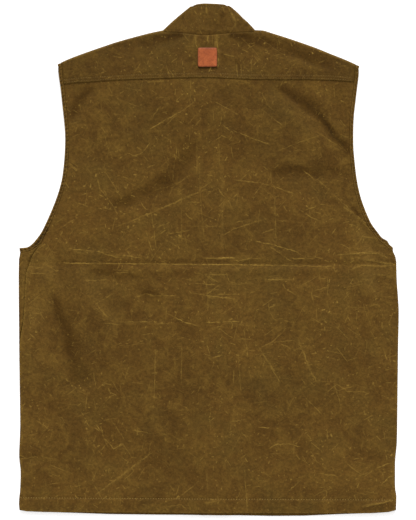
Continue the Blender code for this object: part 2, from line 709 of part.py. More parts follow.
def centre_front_ends(side, edge_x, middles):
    """Centre ends of a front's rows: up the straight edge, then round the neck to the yoke's strip."""
    straight = len(middles) - FRONT_NECK_ROWS
    top_y = read(tuple(reversed([(abs(x), y) for x, y in NECK_FRONT[side]])), abs(edge_x)) - 2 * SEAM_GAP
    ends = [(edge_x, y) for y in middles[:len(BODY_ROWS)]]
    more = straight - len(ends)
    ends += [(edge_x, mix(BODY_ROWS[-1], top_y, ((k + 1) / more) ** CENTRE_ROW_POWER)) for k in range(more)]
    return ends + [neck_end(side, share) for share in reversed(neck_shares(side))]


def front_rows(side):
    """Rows of a front from the centre front outwards, from hem to shoulder seam."""
    edge_x = PLACKET_LEFT - SEAM_GAP if side < 0 else LAP_EDGE
    outer_ends = front_ends(side)
    centre_ends = centre_front_ends(side, edge_x, [middle_y for _, _, middle_y in outer_ends])
    rows = []
    for (reach, y, middle_y), centre in zip(outer_ends, centre_ends):
        rows.append(front_row(side, reach, y, middle_y, centre))
    strip = strip_edge(side)
    rows[-1] = [(x, read(strip, abs(x)) - gap_below(strip, abs(x)), z) for x, _, z in rows[-1]]
    hem = []
    for reach in front_reaches(side, outer_ends[0][0], outer_ends[0][1], centre_ends[0]):
        x, _, z = cloth_point(side, reach, BODY_ROWS[0])
        on_top = side * reach if reach < roll_start(side, BODY_ROWS[0]) else x
        hem.append((x, read(FRONT_HEM, on_top), z))
    return [hem] + rows


def gap_below(edge, at):
    """The upright distance that keeps the strip's gap square to its sloping edge."""
    slope = read(edge, at + 0.5) - read(edge, at - 0.5)
    return STRIP_GAP * math.hypot(1.0, slope)


def front_reaches(side, outer_reach, outer_y, centre):
    """Reaches of a front's columns, from the centre front to the outer edge."""
    centre_reach = floor_reach(side, centre[0], centre[1])
    start = roll_start(side, outer_y)
    half_turn = math.pi * roll_radius(side, outer_y)
    if side < 0:
        targets = [outer_reach, (outer_reach + start) / 2, start]
        targets += [start + half_turn * share for share in FRONT_ROLL_SHARES]
        targets += [start + half_turn + FRONT_COLUMN_INSET]
    else:
        targets = [outer_reach] + [outer_reach + place for place in FRONT_SEAM_COLUMNS]
    outer = [max(target, outer_reach + LEAST_RIM_CELL * k) for k, target in enumerate(targets)]
    near = [centre_reach - place for place in reversed(RISE_PLACES[side])]
    between = [mix(outer[-1], near[0], share) for share in FRONT_MIDDLE_SHARES]
    return list(reversed(outer + between + near))


def front_row(side, outer_reach, outer_y, middle_y, centre):
    """Points of one row of a front, from the centre front to its outer edge."""
    reaches = front_reaches(side, outer_reach, outer_y, centre)
    length = LEFT_FRONT_FAN_LENGTH if side < 0 else FAN_LENGTH
    points = []
    for reach in reaches:
        share = (reaches[0] - reach) / (reaches[0] - reaches[-1])
        y = mix(centre[1], middle_y, ease(share)) + (outer_y - middle_y) * fan(reach - outer_reach, length)
        points.append(cloth_point(side, reach, y))
    return points


def yoke_column_ends():
    """Columns of the yoke from the left armhole to the right one, as (side, share of the shoulder or neck),
    and the neck's curve. The side is 0 at the neck."""
    columns = []
    inner_share = {side: (BINDING_WIDTH[0][1] + SEAM_GAP) / Path(SHOULDER[side]).length for side in (-1, 1)}
    for k in range(SHOULDER_COLUMNS + 1):
        columns.append((-1, mix(inner_share[-1], 1.0, k / SHOULDER_COLUMNS)))
    neck = Path(NECK_BACK)
    for k in range(1, NECK_COLUMNS):
        columns.append((0, k / NECK_COLUMNS))
    for k in range(SHOULDER_COLUMNS, -1, -1):
        columns.append((1, mix(inner_share[1], 1.0, k / SHOULDER_COLUMNS)))
    return columns, neck


def build_yoke():
    """The yoke: up from its lower edge, and at the shoulders over the roll and down the front."""
    columns, neck = yoke_column_ends()
    left_armhole = [beside(station, SEAM_GAP) for station in top_stations(-1)[:YOKE_CELLS + 1]]
    right_armhole = [beside(station, SEAM_GAP) for station in top_stations(1)[:YOKE_CELLS + 1]]
    left_armhole.reverse()
    right_armhole.reverse()
    seam_left = left_armhole[0][0]
    seam_right = right_armhole[0][0]
    last = len(columns) - 1
    rows = []
    for j in range(YOKE_CELLS + 1):
        share = j / YOKE_CELLS
        row = []
        for i, (side, place) in enumerate(columns):
            bottom_x = mix(seam_left, seam_right, i / last)
            bottom = (bottom_x, read(YOKE_SEAM, bottom_x))
            top = yoke_top(side, place, neck)
            x, y = mix_points(bottom, top, share)
            if i == 0:
                x, y = left_armhole[j]
            if i == last:
                x, y = right_armhole[j]
            row.append((x, y, yoke_height(x, y)))
        rows.append(row)
    for k in range(1, ROLL_CELLS + 1):
        angle = math.pi * k / ROLL_CELLS
        rows.append([shoulder_point(side, place, angle) if side else None for side, place in columns])
    for share in (0.5, 1.0):
        rows.append([yoke_strip_point(side, place, share) if side else None for side, place in columns])
    cloth_piece("back_yoke", rows, CLOTH, canvas("back_yoke"))


def yoke_top(side, place, neck):
    """Plan point where a column of the yoke leaves the top layer, or meets the collar."""
    if side:
        return shoulder_point(side, place, 0.0)[:2]
    x, y = neck.at(place)
    return x, y - SEAM_GAP


def yoke_strip_point(side, place, share):
    """A point of the yoke's strip on the front, down from the shoulder's roll."""
    start = shoulder_point(side, place, math.pi)
    normal = shoulder_normal(side, place)
    down = (start[0] - normal[0] * YOKE_FRONT_STRIP, start[1] - normal[1] * YOKE_FRONT_STRIP)
    neck = Path(NECK_FRONT[side])
    neck_x, neck_y = neck.at(YOKE_FRONT_STRIP / neck.length)
    beside_neck = (neck_x + side * SEAM_GAP, neck_y)
    armhole_end = beside(floor_stations(side)[-2], SEAM_GAP)
    armhole_end = (armhole_end[0], armhole_end[1] + SEAM_GAP)
    inner_share = (BINDING_WIDTH[0][1] + SEAM_GAP) / Path(SHOULDER[side]).length
    to_neck = ease((place - 1 + STRIP_NECK_SHARE) / STRIP_NECK_SHARE)
    to_armhole = 1 - ease((place - inner_share) / STRIP_ARMHOLE_SHARE)
    end = mix_points(down, beside_neck, to_neck)
    end = mix_points(end, armhole_end, to_armhole)
    x, y = mix_points(start[:2], end, share)
    return x, y, 0.0


def strip_edge(side):
    """The strip's lower edge: rows of (distance from the centre line, y)."""
    inner_share = (BINDING_WIDTH[0][1] + SEAM_GAP) / Path(SHOULDER[side]).length
    places = [mix(inner_share, 1.0, k / SHOULDER_COLUMNS) for k in range(SHOULDER_COLUMNS + 1)]
    points = [yoke_strip_point(side, place, 1.0) for place in places]
    return tuple(sorted((abs(x), y) for x, y, _ in points))


def build_collar():
    """The collar's ring, flattened: floor layer, left fold, back, right fold, floor layer. It is open at the
    front."""
    places = {}
    for side in (-1, 1):
        shares = neck_shares(side)
        places[side] = [shares[0] / 2] + shares + [1.0]
    rows = []
    for j in range(COLLAR_ROWS + 1):
        v = j / COLLAR_ROWS
        row = [collar_front_point(-1, c, v) for c in reversed(places[-1])]
        row += [collar_fold_point(-1, v, math.pi * (1 - k / ROLL_CELLS)) for k in range(ROLL_CELLS)]
        row += [collar_back_point(k / COLLAR_BACK_COLUMNS, v) for k in range(COLLAR_BACK_COLUMNS + 1)]
        row += [collar_fold_point(1, v, math.pi * (k + 1) / ROLL_CELLS) for k in range(ROLL_CELLS)]
        row += [collar_front_point(1, c, v) for c in places[1]]
        rows.append(row)
    cloth_piece("collar", rows, COLLAR_CLOTH, canvas("collar"))


def collar_normal(side, v):
    along_x, along_y = Path(COLLAR_SIDE[side]).heading(v)
    normal = (-along_y, along_x) if side < 0 else (along_y, -along_x)
    blend = 1 - ease(v / COLLAR_BASE_TURN_SHARE)
    turned = mix_points(normal, NECK_CORNER_NORMAL[side], blend)
    turned = mix_points(turned, (side * 1.0, COLLAR_TOP_HEADING), ease((v - 0.5) / 0.5))
    long = math.hypot(*turned)
    return turned[0] / long, turned[1] / long


def collar_edge(side, v):
    """Plan point of the collar's folded side, lifted clear of the yoke at its base."""
    x, y = Path(COLLAR_SIDE[side]).at(v)
    return x - side * SEAM_GAP * (1 - v), y + COLLAR_CORNER_GAP * (1 - v)


def collar_radius(side, v):
    corner = shoulder_point(side, 1.0, 0.0)
    base = yoke_height(corner[0], corner[1]) + COLLAR_STEP
    return mix(base, COLLAR_EDGE_HEIGHT, v) / 2


def collar_fold_point(side, v, angle):
    edge = collar_edge(side, v)
    normal = collar_normal(side, v)
    radius = collar_radius(side, v)
    out = radius * (math.sin(angle) - 1)
    return edge[0] + normal[0] * out, edge[1] + normal[1] * out, radius + radius * math.cos(angle)


def patch_between(base, top, start, end, c, v):
    """A point of the surface between four edges: base and top at c, and start and end at v."""
    corners = (base(0), base(1), top(0), top(1))
    flat = mix_points(mix_points(corners[0], corners[1], c), mix_points(corners[2], corners[3], c), v)
    ruled = mix_points(base(c), top(c), v)
    sides = mix_points(start(v), end(v), c)
    return tuple(a + b - d for a, b, d in zip(ruled, sides, flat))


def collar_back_point(c, v):
    neck = Path(NECK_BACK)
    crown = Path(COLLAR_TOP)

    def base(share):
        x, y = neck.at(share)
        corner = 1 - ease(min(share, 1 - share) * COLLAR_BACK_COLUMNS / COLLAR_CORNER_COLUMNS)
        return x, y + mix(SEAM_GAP, COLLAR_CORNER_GAP, corner)

    x, y = patch_between(
        base,
        crown.at,
        lambda place: collar_fold_point(-1, place, 0.0)[:2],
        lambda place: collar_fold_point(1, place, 0.0)[:2],
        c,
        v,
    )
    seam_x, seam_y = neck.at(c)
    at_seam = yoke_height(seam_x, seam_y) + COLLAR_STEP
    bulge = COLLAR_BULGE * math.sin(math.pi * c) * math.sin(0.85 * math.pi * v**0.8)
    fold_height_here = 2 * mix(collar_radius(-1, v), collar_radius(1, v), c)
    near_fold = min(c, 1 - c) * COLLAR_BACK_COLUMNS
    z = mix(at_seam, COLLAR_EDGE_HEIGHT, v) + bulge
    return x, y, mix(fold_height_here, z, ease(near_fold / 2))


def collar_front_point(side, c, v):
    """A point of the collar's floor layer: c is 0 at the side fold and 1 at the centre front."""
    neck = Path(NECK_FRONT[side])
    crown = Path(COLLAR_FRONT_TOP[side])

    def base(share):
        x, y = neck.at(share)
        inward = SEAM_GAP * (1 + share)
        return x - side * inward * (1 - share) + side * 0.6 * share, y + inward * share

    x, y = patch_between(
        base,
        crown.at,
        lambda place: collar_fold_point(side, place, math.pi)[:2],
        lambda place: mix_points(base(1), crown.at(1), place),
        c,
        v,
    )
    return x, y, front_rise(side, x) * (1 - 0.8 * v)


def build_placket():
    """The two-ply band on the left front's edge, clear of the snap caps beneath it."""
    columns = [mix(PLACKET_RIGHT, PLACKET_LEFT, i / (PLACKET_COLUMNS - 1)) for i in range(PLACKET_COLUMNS)]
    rows = [[(x, read(FRONT_HEM, x), PLACKET_RISE) for x in columns]]
    for y in BODY_ROWS + PLACKET_TOP_ROWS:
        rows.append([(x, y, PLACKET_RISE) for x in columns])
    top = []
    for x in columns:
        rise = NECK_DIP_RISE * ((x - CENTRE_FRONT) / (PLACKET_RIGHT - CENTRE_FRONT)) ** 2
        top.append((x, NECK_DIP_Y + rise - SEAM_GAP, PLACKET_RISE))
    rows.append(top)
    cloth_piece("placket", rows, PLACKET_CLOTH, canvas("placket"))


def binding_height(side, x, y):
    """Outer face of the binding on the top layer: it climbs from the back panel onto the yoke."""
    seam_y = YOKE_SEAM[0][1] if side < 0 else YOKE_SEAM[-1][1]
    on_yoke = ease((y - seam_y + 12.0) / 24.0)
    return mix(top_height(x, y), yoke_height(x, y), on_yoke)


def build_binding(side, name):
    """A closed band round the armhole: down the back, round the side fold, up the front and over the
    shoulder."""
    lines = []
    for outer, inner in top_stations(side)[1:]:
        top = tuple((x, y, binding_height(side, x, y)) for x, y in (outer, inner))
        lines.append((top, (0.0, 0.0, 1.0)))
    for k in range(1, ROLL_CELLS):
        share = k / ROLL_CELLS
        pair = []
        for y in (OUTER_UNDERARM[side], INNER_UNDERARM[side]):
            reach = roll_start(side, y) + share * math.pi * roll_radius(side, y)
            pair.append(cloth_point(side, reach, y))
        angle = math.pi * share
        lines.append((tuple(pair), (side * math.sin(angle), 0.0, math.cos(angle))))
    for outer, inner in floor_stations(side)[:-1]:
        lines.append((tuple((x, y, 0.0) for x, y in (outer, inner)), (0.0, 0.0, -1.0)))
    normal = shoulder_normal(side, 0.0)
    for k in range(ROLL_CELLS, -1, -1):
        angle = math.pi * k / ROLL_CELLS
        pair = shoulder_station(side, angle)
        out = math.sin(angle)
        lines.append((pair, (normal[0] * out, normal[1] * out, math.cos(angle))))
    rows = []
    for (outer, inner), out in lines + lines[:1]:
        row = []
        for share in BINDING_SHARES:
            drop = BINDING_ROUNDING * abs(2 * share - 1) ** 4
            point = mix_points(outer, inner, share)
            row.append(tuple(p - n * drop for p, n in zip(point, out)))
        if side < 0:
            row.reverse()
        rows.append(row)
    cloth_piece(name, rows, BINDING_CLOTH, canvas(name))


def build_patch():
    """A square of leather on the yoke, with rounded corners, made from the yoke's own surface moved out."""
    rows = []
    half = PATCH_SIDE / 2
    for j in range(PATCH_CELLS + 1):
        row = []
        for i in range(PATCH_CELLS + 1):
            across = 2 * i / PATCH_CELLS - 1
            up = 2 * j / PATCH_CELLS - 1
            pull = 1 - PATCH_CORNER_PULL * PATCH_CORNER / half * (across * up) ** 8
            x = PATCH_CENTRE[0] + half * across * pull
            y = PATCH_CENTRE[1] + half * up * pull
            crown = PATCH_CROWN * (1 - max(abs(across), abs(up)) ** 4)
            row.append((x, y, yoke_height(x, y) + LAP_GAP + PATCH_THICKNESS + crown))
        rows.append(row)
    leather = new_material("leather_patch_leather", LEATHER_COLOUR, LEATHER_ROUGHNESS, 0.0)
    cloth_piece("leather_patch", rows, PATCH_THICKNESS, leather)


def build_snap_caps():
    """Low turned caps under the placket, their faces on the floor."""
    for number, y in enumerate(CAP_PLACES, start=1):
        name = f"snap_cap_{number}"
        profile = (
            (0.0, CAP_HEIGHT), (CAP_RADIUS, CAP_HEIGHT), (CAP_RADIUS, CAP_BEVEL_SHARE * CAP_HEIGHT),
            (CAP_FACE_RADIUS, 0.0), (0.0, 0.0),
        )
        mesh = bpy.data.meshes.new(name)
        edges = [(k, k + 1) for k in range(len(profile) - 1)]
        mesh.from_pydata([(x * MM, 0.0, z * MM) for x, z in profile], edges, [])
        metal = new_material(name + "_metal", SNAP_COLOUR, SNAP_ROUGHNESS, 1.0)
        cap = new_object(name, mesh, metal)
        cap.location = (CENTRE_FRONT * MM, y * MM, 0.0)
        screw = cap.modifiers.new("turn", "SCREW")
        screw.steps = CAP_STEPS
        screw.render_steps = CAP_STEPS
        screw.use_merge_vertices = True
        screw.merge_threshold = 0.00001


def main():
    clear_scene()
    vest = bpy.data.collections.new("upland_vest")
    bpy.context.scene.collection.children.link(vest)
    build_back_panel()
    build_yoke()
    build_collar()
    build_fronts()
    build_placket()
    build_binding(-1, "armhole_binding_left")
    build_binding(1, "armhole_binding_right")
    build_patch()
    build_snap_caps()


main()
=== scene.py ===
"""Looks of the upland vest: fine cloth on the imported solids' forms, sewing, materials, floor and light.

Sizes are in millimetres and become metres as each mesh is made. The panels' tables and functions are those of
the solids, read here for whole arrays of points at once.
"""

import functools
import math

import bpy
import mathutils
import numpy as np
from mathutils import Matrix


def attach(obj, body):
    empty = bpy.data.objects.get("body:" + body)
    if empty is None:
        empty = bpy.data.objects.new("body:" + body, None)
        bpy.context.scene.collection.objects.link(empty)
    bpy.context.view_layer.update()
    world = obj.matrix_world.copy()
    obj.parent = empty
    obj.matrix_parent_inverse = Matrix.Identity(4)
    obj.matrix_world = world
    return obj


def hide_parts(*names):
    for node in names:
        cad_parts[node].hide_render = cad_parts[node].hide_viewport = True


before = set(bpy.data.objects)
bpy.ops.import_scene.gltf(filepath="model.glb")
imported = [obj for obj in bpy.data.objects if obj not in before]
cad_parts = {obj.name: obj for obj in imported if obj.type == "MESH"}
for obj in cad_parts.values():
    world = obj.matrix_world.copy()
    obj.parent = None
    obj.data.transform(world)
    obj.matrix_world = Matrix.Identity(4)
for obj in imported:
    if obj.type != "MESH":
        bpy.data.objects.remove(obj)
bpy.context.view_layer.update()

# Cloth walls and the gaps between pieces.
CLOTH = 1.3
HEM_CLOTH = 2.0
COLLAR_CLOTH = 2.0
PLACKET_CLOTH = 1.5
BINDING_CLOTH = 1.8
SEAM_GAP = 0.3
ROLLED_SEAM_GAP = 1.7
LAP_GAP = 0.5
STRIP_GAP = 0.7

# Heights of the top layer's outer face above the floor.
BODY_HEIGHT = 5.2
LEAST_HEIGHT = 4.1
EDGE_INSET = 2.6
YOKE_LAP = 10.0
YOKE_EASE = 0.9
YOKE_EASE_LENGTH = 45.0
SWELL_HEIGHT = 0.3
SWELL_ACROSS = 88.0
SWELL_UP = 112.0

# Centre front: the placket's band, the snap caps under it and the right front's edge above it.
CENTRE_FRONT = 2.6
PLACKET_LEFT = -14.5
PLACKET_RIGHT = 19.5
LAP_EDGE = -11.0
CAP_HEIGHT = 1.1
PLACKET_RISE = CAP_HEIGHT + SEAM_GAP
LAP_RISE = PLACKET_RISE + PLACKET_CLOTH + SEAM_GAP
RISE_LENGTH = 26.0
LAP_SWELL = 1.3
LAP_SWELL_LEFT = -36.0
LAP_SWELL_RIGHT = 44.0
LAP_SWELL_EASE = 28.0
LAP_TOP = 262.0
LAP_TOP_EASE = 30.0
LEAST_OVER_LAP = LAP_RISE + CLOTH + SEAM_GAP + CLOTH
LEAST_OVER_HEM = LAP_RISE + HEM_CLOTH + SEAM_GAP + HEM_CLOTH
HEM_TOP = -354.0
HEM_TOP_EASE = 26.0

# The right side seam lies underneath, and the yoke ends in a strip on the front.
SIDE_SEAM_UNDER = 12.0
YOKE_FRONT_STRIP = 22.0
STRIP_NECK_SHARE = 0.25
STRIP_ARMHOLE_SHARE = 0.12

# Leather patch on the yoke.
PATCH_CENTRE = (-1.9, 303.0)
PATCH_SIDE = 29.0
PATCH_THICKNESS = 1.7

# Side folds: rows of (y, distance from the centre line).
SIDE_EDGE = {
    -1: (
        (-376.0, 284.3), (-366.0, 284.9), (-343.0, 283.1), (-319.0, 282.4), (-295.0, 284.5),
        (-247.0, 283.1), (-175.0, 284.0), (-79.0, 284.8), (-31.0, 285.1), (-1.0, 284.8), (11.0, 282.9),
        (17.4, 284.3),
    ),
    1: (
        (-373.0, 281.3), (-355.0, 281.9), (-343.0, 279.8), (-307.0, 279.8), (-271.0, 282.7), (-199.0, 283.6),
        (-127.0, 284.5), (-79.0, 285.4), (-55.0, 284.2), (-31.0, 282.4), (-3.0, 281.6), (6.0, 279.5),
        (13.0, 276.6), (16.5, 277.0), (22.0, 273.8),
    ),
}

# Hem edges: rows of (x, y). The front's hem shows a little below the back's.
BACK_HEM = (
    (-284.0, -375.5), (-266.0, -378.3), (-223.0, -378.8), (-100.0, -379.6), (100.0, -380.3), (227.0, -380.6),
    (264.0, -379.4), (282.0, -375.5),
)
FRONT_HEM = (
    (-284.0, -375.5), (-266.0, -378.3), (-223.0, -379.3), (-166.0, -381.8), (53.0, -384.0), (102.0, -384.8),
    (165.0, -384.0), (193.0, -382.3), (234.0, -380.9), (264.0, -379.6), (282.0, -375.5),
)

# The left side seam: its upper part lies on the back and its lower part underneath.
# Rows of (y, distance from the centre line along the cloth).
LEFT_SEAM = (
    (-178.0, 296.0), (-162.0, 293.0), (-146.0, 288.6), (-130.0, 285.0), (-113.0, 281.8), (-98.0, 278.6),
    (-76.0, 277.1), (-38.0, 274.9), (-20.0, 273.9), (-11.0, 270.6), (-4.0, 268.1), (4.0, 265.1),
    (11.0, 261.0), (15.0, 258.0), (20.7, 253.2), (24.4, 250.6),
)
ROLLED_SEAM = ((-185.0, 0.0), (-170.0, 1.0), (-105.0, 1.0), (-90.0, 0.0))

# The yoke's lower edge: rows of (x, y).
YOKE_SEAM = (
    (-217.0, 262.4), (-195.0, 265.0), (-165.0, 267.0), (-139.0, 268.8), (-118.0, 270.0), (-3.0, 272.9),
    (66.0, 270.3), (138.0, 269.8), (183.0, 268.4), (217.0, 265.6),
)

# Outer edges of the armholes on the top layer, from the shoulder down to the underarm: rows of (x, y).
ARMHOLE_TOP = {
    -1: (
        (-225.9, 289.8), (-225.4, 281.0), (-222.2, 257.3), (-219.7, 233.3), (-217.1, 209.3), (-215.3, 185.3),
        (-215.4, 171.0), (-216.7, 149.3), (-219.4, 125.3), (-225.2, 101.3), (-234.1, 77.3), (-244.6, 53.3),
        (-252.1, 38.9),
    ),
    1: (
        (224.8, 287.2), (224.9, 281.0), (222.5, 257.3), (219.7, 233.3), (217.3, 209.3), (216.7, 185.3),
        (216.9, 171.0), (218.6, 149.3), (221.3, 125.3), (225.8, 101.3), (233.3, 77.3), (244.1, 53.3),
    ),
}

# The bindings at the underarm, where they turn to the side folds: (outer, inner) points on the top layer.
UNDERARM_TOP = {
    -1: (
        ((-258.2, 30.6), (-250.6, 24.4)), ((-265.0, 23.0), (-259.4, 18.6)), ((-271.5, 18.6), (-267.4, 13.4)),
        ((-277.0, 17.6), (-275.0, 11.4)),
    ),
    1: (((252.8, 41.4), (248.1, 37.6)), ((260.6, 32.0), (256.3, 27.4)), ((267.6, 28.0), (264.6, 21.0))),
}
UNDERARM_FLOOR = {-1: ((-268.0, 19.5), (-266.0, 12.0)), 1: ((262.5, 22.6), (261.8, 14.2))}
INNER_UNDERARM = {-1: 10.4, 1: 13.0}
OUTER_UNDERARM = {-1: 17.4, 1: 22.0}

# The armholes' edges on the floor layer, where the fronts are cut deeper, from the underarm to the shoulder.
ARMHOLE_FLOOR = {
    -1: (
        (-255.0, 28.0), (-240.0, 47.0), (-224.0, 72.0), (-211.0, 100.0), (-203.0, 130.0), (-200.5, 160.0),
        (-202.0, 190.0), (-207.0, 225.0), (-216.0, 262.0), (-225.9, 289.8),
    ),
    1: (
        (251.0, 30.0), (238.0, 47.0), (223.0, 72.0), (210.0, 100.0), (203.0, 130.0), (201.0, 160.0),
        (202.0, 190.0), (207.0, 225.0), (216.0, 262.0), (224.8, 287.2),
    ),
}

# Width of the binding: rows of (share of the way from shoulder to underarm, width).
BINDING_WIDTH = ((0.0, 5.5), (0.6, 6.0), (1.0, 6.4))

# Shoulder folds from the tip to the neck: rows of (x, y).
SHOULDER = {
    -1: (
        (-227.2, 292.5), (-213.5, 299.2), (-190.4, 308.2), (-164.8, 317.2), (-137.8, 326.2), (-105.7, 335.2),
        (-88.1, 339.7), (-68.6, 343.8),
    ),
    1: (
        (226.3, 289.8), (205.9, 299.2), (183.4, 308.2), (161.2, 317.2), (136.0, 326.2), (108.8, 335.2),
        (93.4, 340.0), (80.5, 343.7), (69.4, 344.2),
    ),
}
NECK_CORNER_NORMAL = {-1: (-0.49, 0.87), 1: (0.49, 0.87)}
NECK_BLEND_SHARE = 0.12
SHOULDER_INSET = 3.0

# Neck seam between collar and yoke on the top layer, and between collar and fronts on the floor layer.
NECK_DIP_Y = 249.5
NECK_DIP_RISE = 2.1
NECK_BACK = (
    (-67.0, 341.2), (-54.0, 341.0), (-40.1, 339.8), (-28.1, 338.2), (-7.1, 336.5), (16.9, 338.2),
    (33.4, 339.8), (54.0, 341.4), (67.8, 341.6),
)
NECK_FRONT = {
    -1: (
        (-67.0, 341.2), (-65.5, 325.0), (-61.0, 300.0), (-50.0, 277.0), (-33.0, 260.0), (-14.5, 251.6),
        (CENTRE_FRONT, NECK_DIP_Y),
    ),
    1: (
        (67.8, 341.6), (66.6, 325.0), (62.6, 300.0), (52.5, 277.0), (37.0, 260.0), (19.5, 251.6),
        (CENTRE_FRONT, NECK_DIP_Y),
    ),
}

# Collar: its folded sides, its top edge on the back and its top edge on the front.
COLLAR_SIDE = {
    -1: ((-68.6, 343.8), (-53.6, 357.8), (-43.1, 366.8), (-34.1, 374.2), (-28.1, 378.8)),
    1: ((69.4, 344.2), (58.9, 355.5), (51.4, 362.2), (43.9, 369.8), (36.5, 375.8), (30.6, 379.2)),
}
COLLAR_TOP = ((-25.0, 378.8), (-18.6, 381.3), (-5.6, 384.0), (9.4, 383.7), (21.9, 382.4), (27.4, 379.6))
COLLAR_FRONT_TOP = {
    -1: ((-25.0, 378.8), (-22.0, 345.0), (-12.0, 314.0), (CENTRE_FRONT - 0.6, 293.0)),
    1: ((27.4, 379.6), (24.0, 346.0), (15.0, 315.0), (CENTRE_FRONT + 0.6, 293.0)),
}
COLLAR_STEP = 0.5
COLLAR_EDGE_HEIGHT = 6.6
COLLAR_BULGE = 1.0
COLLAR_TOP_HEADING = 0.05
COLLAR_BASE_TURN_SHARE = 0.35

# Largest folds of the back: soft ridges, and troughs where the height is negative, along straight
# stretches. Columns: x and y of one end, x and y of the other, half width, height.
FOLDS = (
    (108.0, 257.0, 152.0, 228.0, 11.0, -1.2),
    (152.0, 228.0, 206.0, 162.0, 12.0, -1.3),
    (92.0, 236.0, 176.0, 168.0, 14.0, 1.0),
    (102.0, 134.0, 212.0, 127.0, 10.0, -0.8),
    (-187.0, 257.0, -206.0, 218.0, 9.0, -0.9),
    (-141.0, 82.0, -70.0, 110.0, 13.0, -0.8),
    (-70.0, 110.0, -22.0, 166.0, 13.0, -0.8),
    (-243.0, -23.0, -218.0, -80.0, 13.0, -0.9),
    (-218.0, -80.0, -193.0, -178.0, 14.0, -0.9),
    (-255.0, -95.0, -236.0, -170.0, 12.0, 0.6),
    (-286.0, -6.0, 286.0, -8.0, 5.0, -0.9),
    (-190.0, -16.0, 190.0, -16.0, 6.0, 0.6),
    (-178.0, -19.0, -140.0, -33.0, 10.0, -0.7),
    (-104.0, -46.0, -74.0, -62.0, 11.0, -0.7),
    (-42.0, 337.0, -94.0, 323.0, 7.0, -1.0),
    (36.0, 336.0, 84.0, 326.0, 7.0, -1.1),
    (84.0, 326.0, 176.0, 292.0, 8.0, -1.0),
    (196.0, -140.0, 224.0, -178.0, 15.0, -0.7),
    (-282.0, -299.0, -246.0, -301.0, 6.0, -0.8),
    (228.0, -372.0, 280.0, -360.0, 5.0, 0.7),
    (6.0, 250.0, 24.0, 262.0, 24.0, 1.0),
)

# Rows of the panels below the underarm, from the hem up.
BODY_ROWS = (
    -367.0, -356.5, -353.0, -336.0, -318.0, -300.0, -278.0, -254.0, -230.0, -206.0, -184.0, -172.0, -160.0,
    -148.0, -136.0, -124.0, -110.0, -92.0, -74.0, -56.0, -40.0, -28.0, -20.0,
)

# Rows at the underarm, which fan out round its corner. Back: (y of the left seam, share of the way from the
# right seam to the right fold, y at the right, y in the middle).
BACK_FAN = (
    (-13.0, 0.0, -10.0, -15.0), (-7.0, 0.0, 2.0, -10.5), (-1.0, 0.0, 12.7, -6.0), (3.5, 0.59, 12.7, -2.0),
    (7.5, 0.73, 12.7, 2.5), (11.0, 0.865, 12.7, 7.5),
)
BACK_FAN_LEFT_TOP = (14.5, 18.0, 21.0)
BACK_FAN_MIDDLE_TOP = (13.5, 20.5, 29.0, 39.0)
# Left front: (y of the seam, y in the middle), then y in the middle where the rows end on the binding.
LEFT_FAN = (
    (-20.0, -25.0), (-13.0, -22.5), (-7.0, -20.5), (-1.0, -18.5), (3.5, -17.0), (7.5, -15.8),
    (11.0, -14.7), (14.5, -13.5), (18.0, -12.3), (21.0, -11.2),
)
LEFT_FAN_BINDING = (-10.0, -7.5, -4.6, -2.6, -0.6, 1.5, 4.0, 6.0, 13.3)
# Right front: (y of the seam, y in the middle), then y in the middle where the first row ends on the binding.
RIGHT_FAN = ((-20.0, -20.0), (-10.0, -12.0), (2.0, -4.0), (12.7, 5.0))
RIGHT_FAN_BINDING = (15.0,)
FAN_LENGTH = 60.0
LEFT_FRONT_FAN_LENGTH = 100.0
CENTRE_ROW_POWER = 1.5
FLOOR_FAN_RISE = 8.0

# How many cells each stretch takes.
ARMHOLE_CELLS = 13
FLOOR_ARMHOLE_CELLS = 11
YOKE_CELLS = 5
ROLL_CELLS = 4
MAIN_COLUMNS = 22
LEAST_RIM_CELL = 1.9
SHOULDER_COLUMNS = 9
NECK_COLUMNS = 10
FRONT_NECK_ROWS = 7
COLLAR_BACK_COLUMNS = 14
COLLAR_CORNER_COLUMNS = 3
ARMHOLE_SEARCH_STEPS = 400

# Columns at the sides: shares of the side's roll, and distances from the seam, the roll and the centre front.
BACK_ROLL_SHARES = {-1: (1.0, 0.6, 0.25, 0.0), 1: (1.0, 0.67, 0.33, 0.0)}
BACK_COLUMN_INSET = 9.0
FRONT_ROLL_SHARES = (0.25, 0.5, 0.75, 1.0)
FRONT_COLUMN_INSET = 25.0
FRONT_SEAM_COLUMNS = (8.0, 26.0)
FRONT_MIDDLE_SHARES = (0.25, 0.5, 0.75)
RISE_PLACES = {-1: (0.0, 9.0, 18.0, 27.0), 1: (0.0, 16.0, 31.0, 40.0, 49.0, 58.0)}

# Finer rows and columns of the cloth that shows.
TOP_STEP = 3.7
CLOSE_STEP = 1.2
FLOOR_STEP = 6.5
FINE_ROLL_CELLS = 10
FINER_YOKE = 4
YOKE_UPPER_ROWS = 22
STRIP_ROWS = 6
COLLAR_FINE_ROWS = 36
COLLAR_FRONT_COLUMNS = 40
COLLAR_TOP_COLUMNS = 90
PLACKET_FINE_ROWS = 150
PLACKET_FINE_COLUMNS = 22
PLACKET_STITCH_INSET = 4.0
BINDING_STEP = 1.3
PATCH_FINE_CELLS = 30
PATCH_BEVEL = 0.7
PATCH_ROUNDING = 2.6
LINE_LAYERS = 6
LINE_ROOM = 11.0
STITCH_SINK = 0.1
STITCH_LEAST_HEIGHT = 0.08
STITCH_SIDES = 6
STITCH_PITCH = 3.6
STITCH_LENGTH = 2.7
STITCH_RADIUS = 0.32
HEM_PITCH = 3.9
HEM_LENGTH = 1.6
HEM_RADIUS = 0.45
MM = 0.001

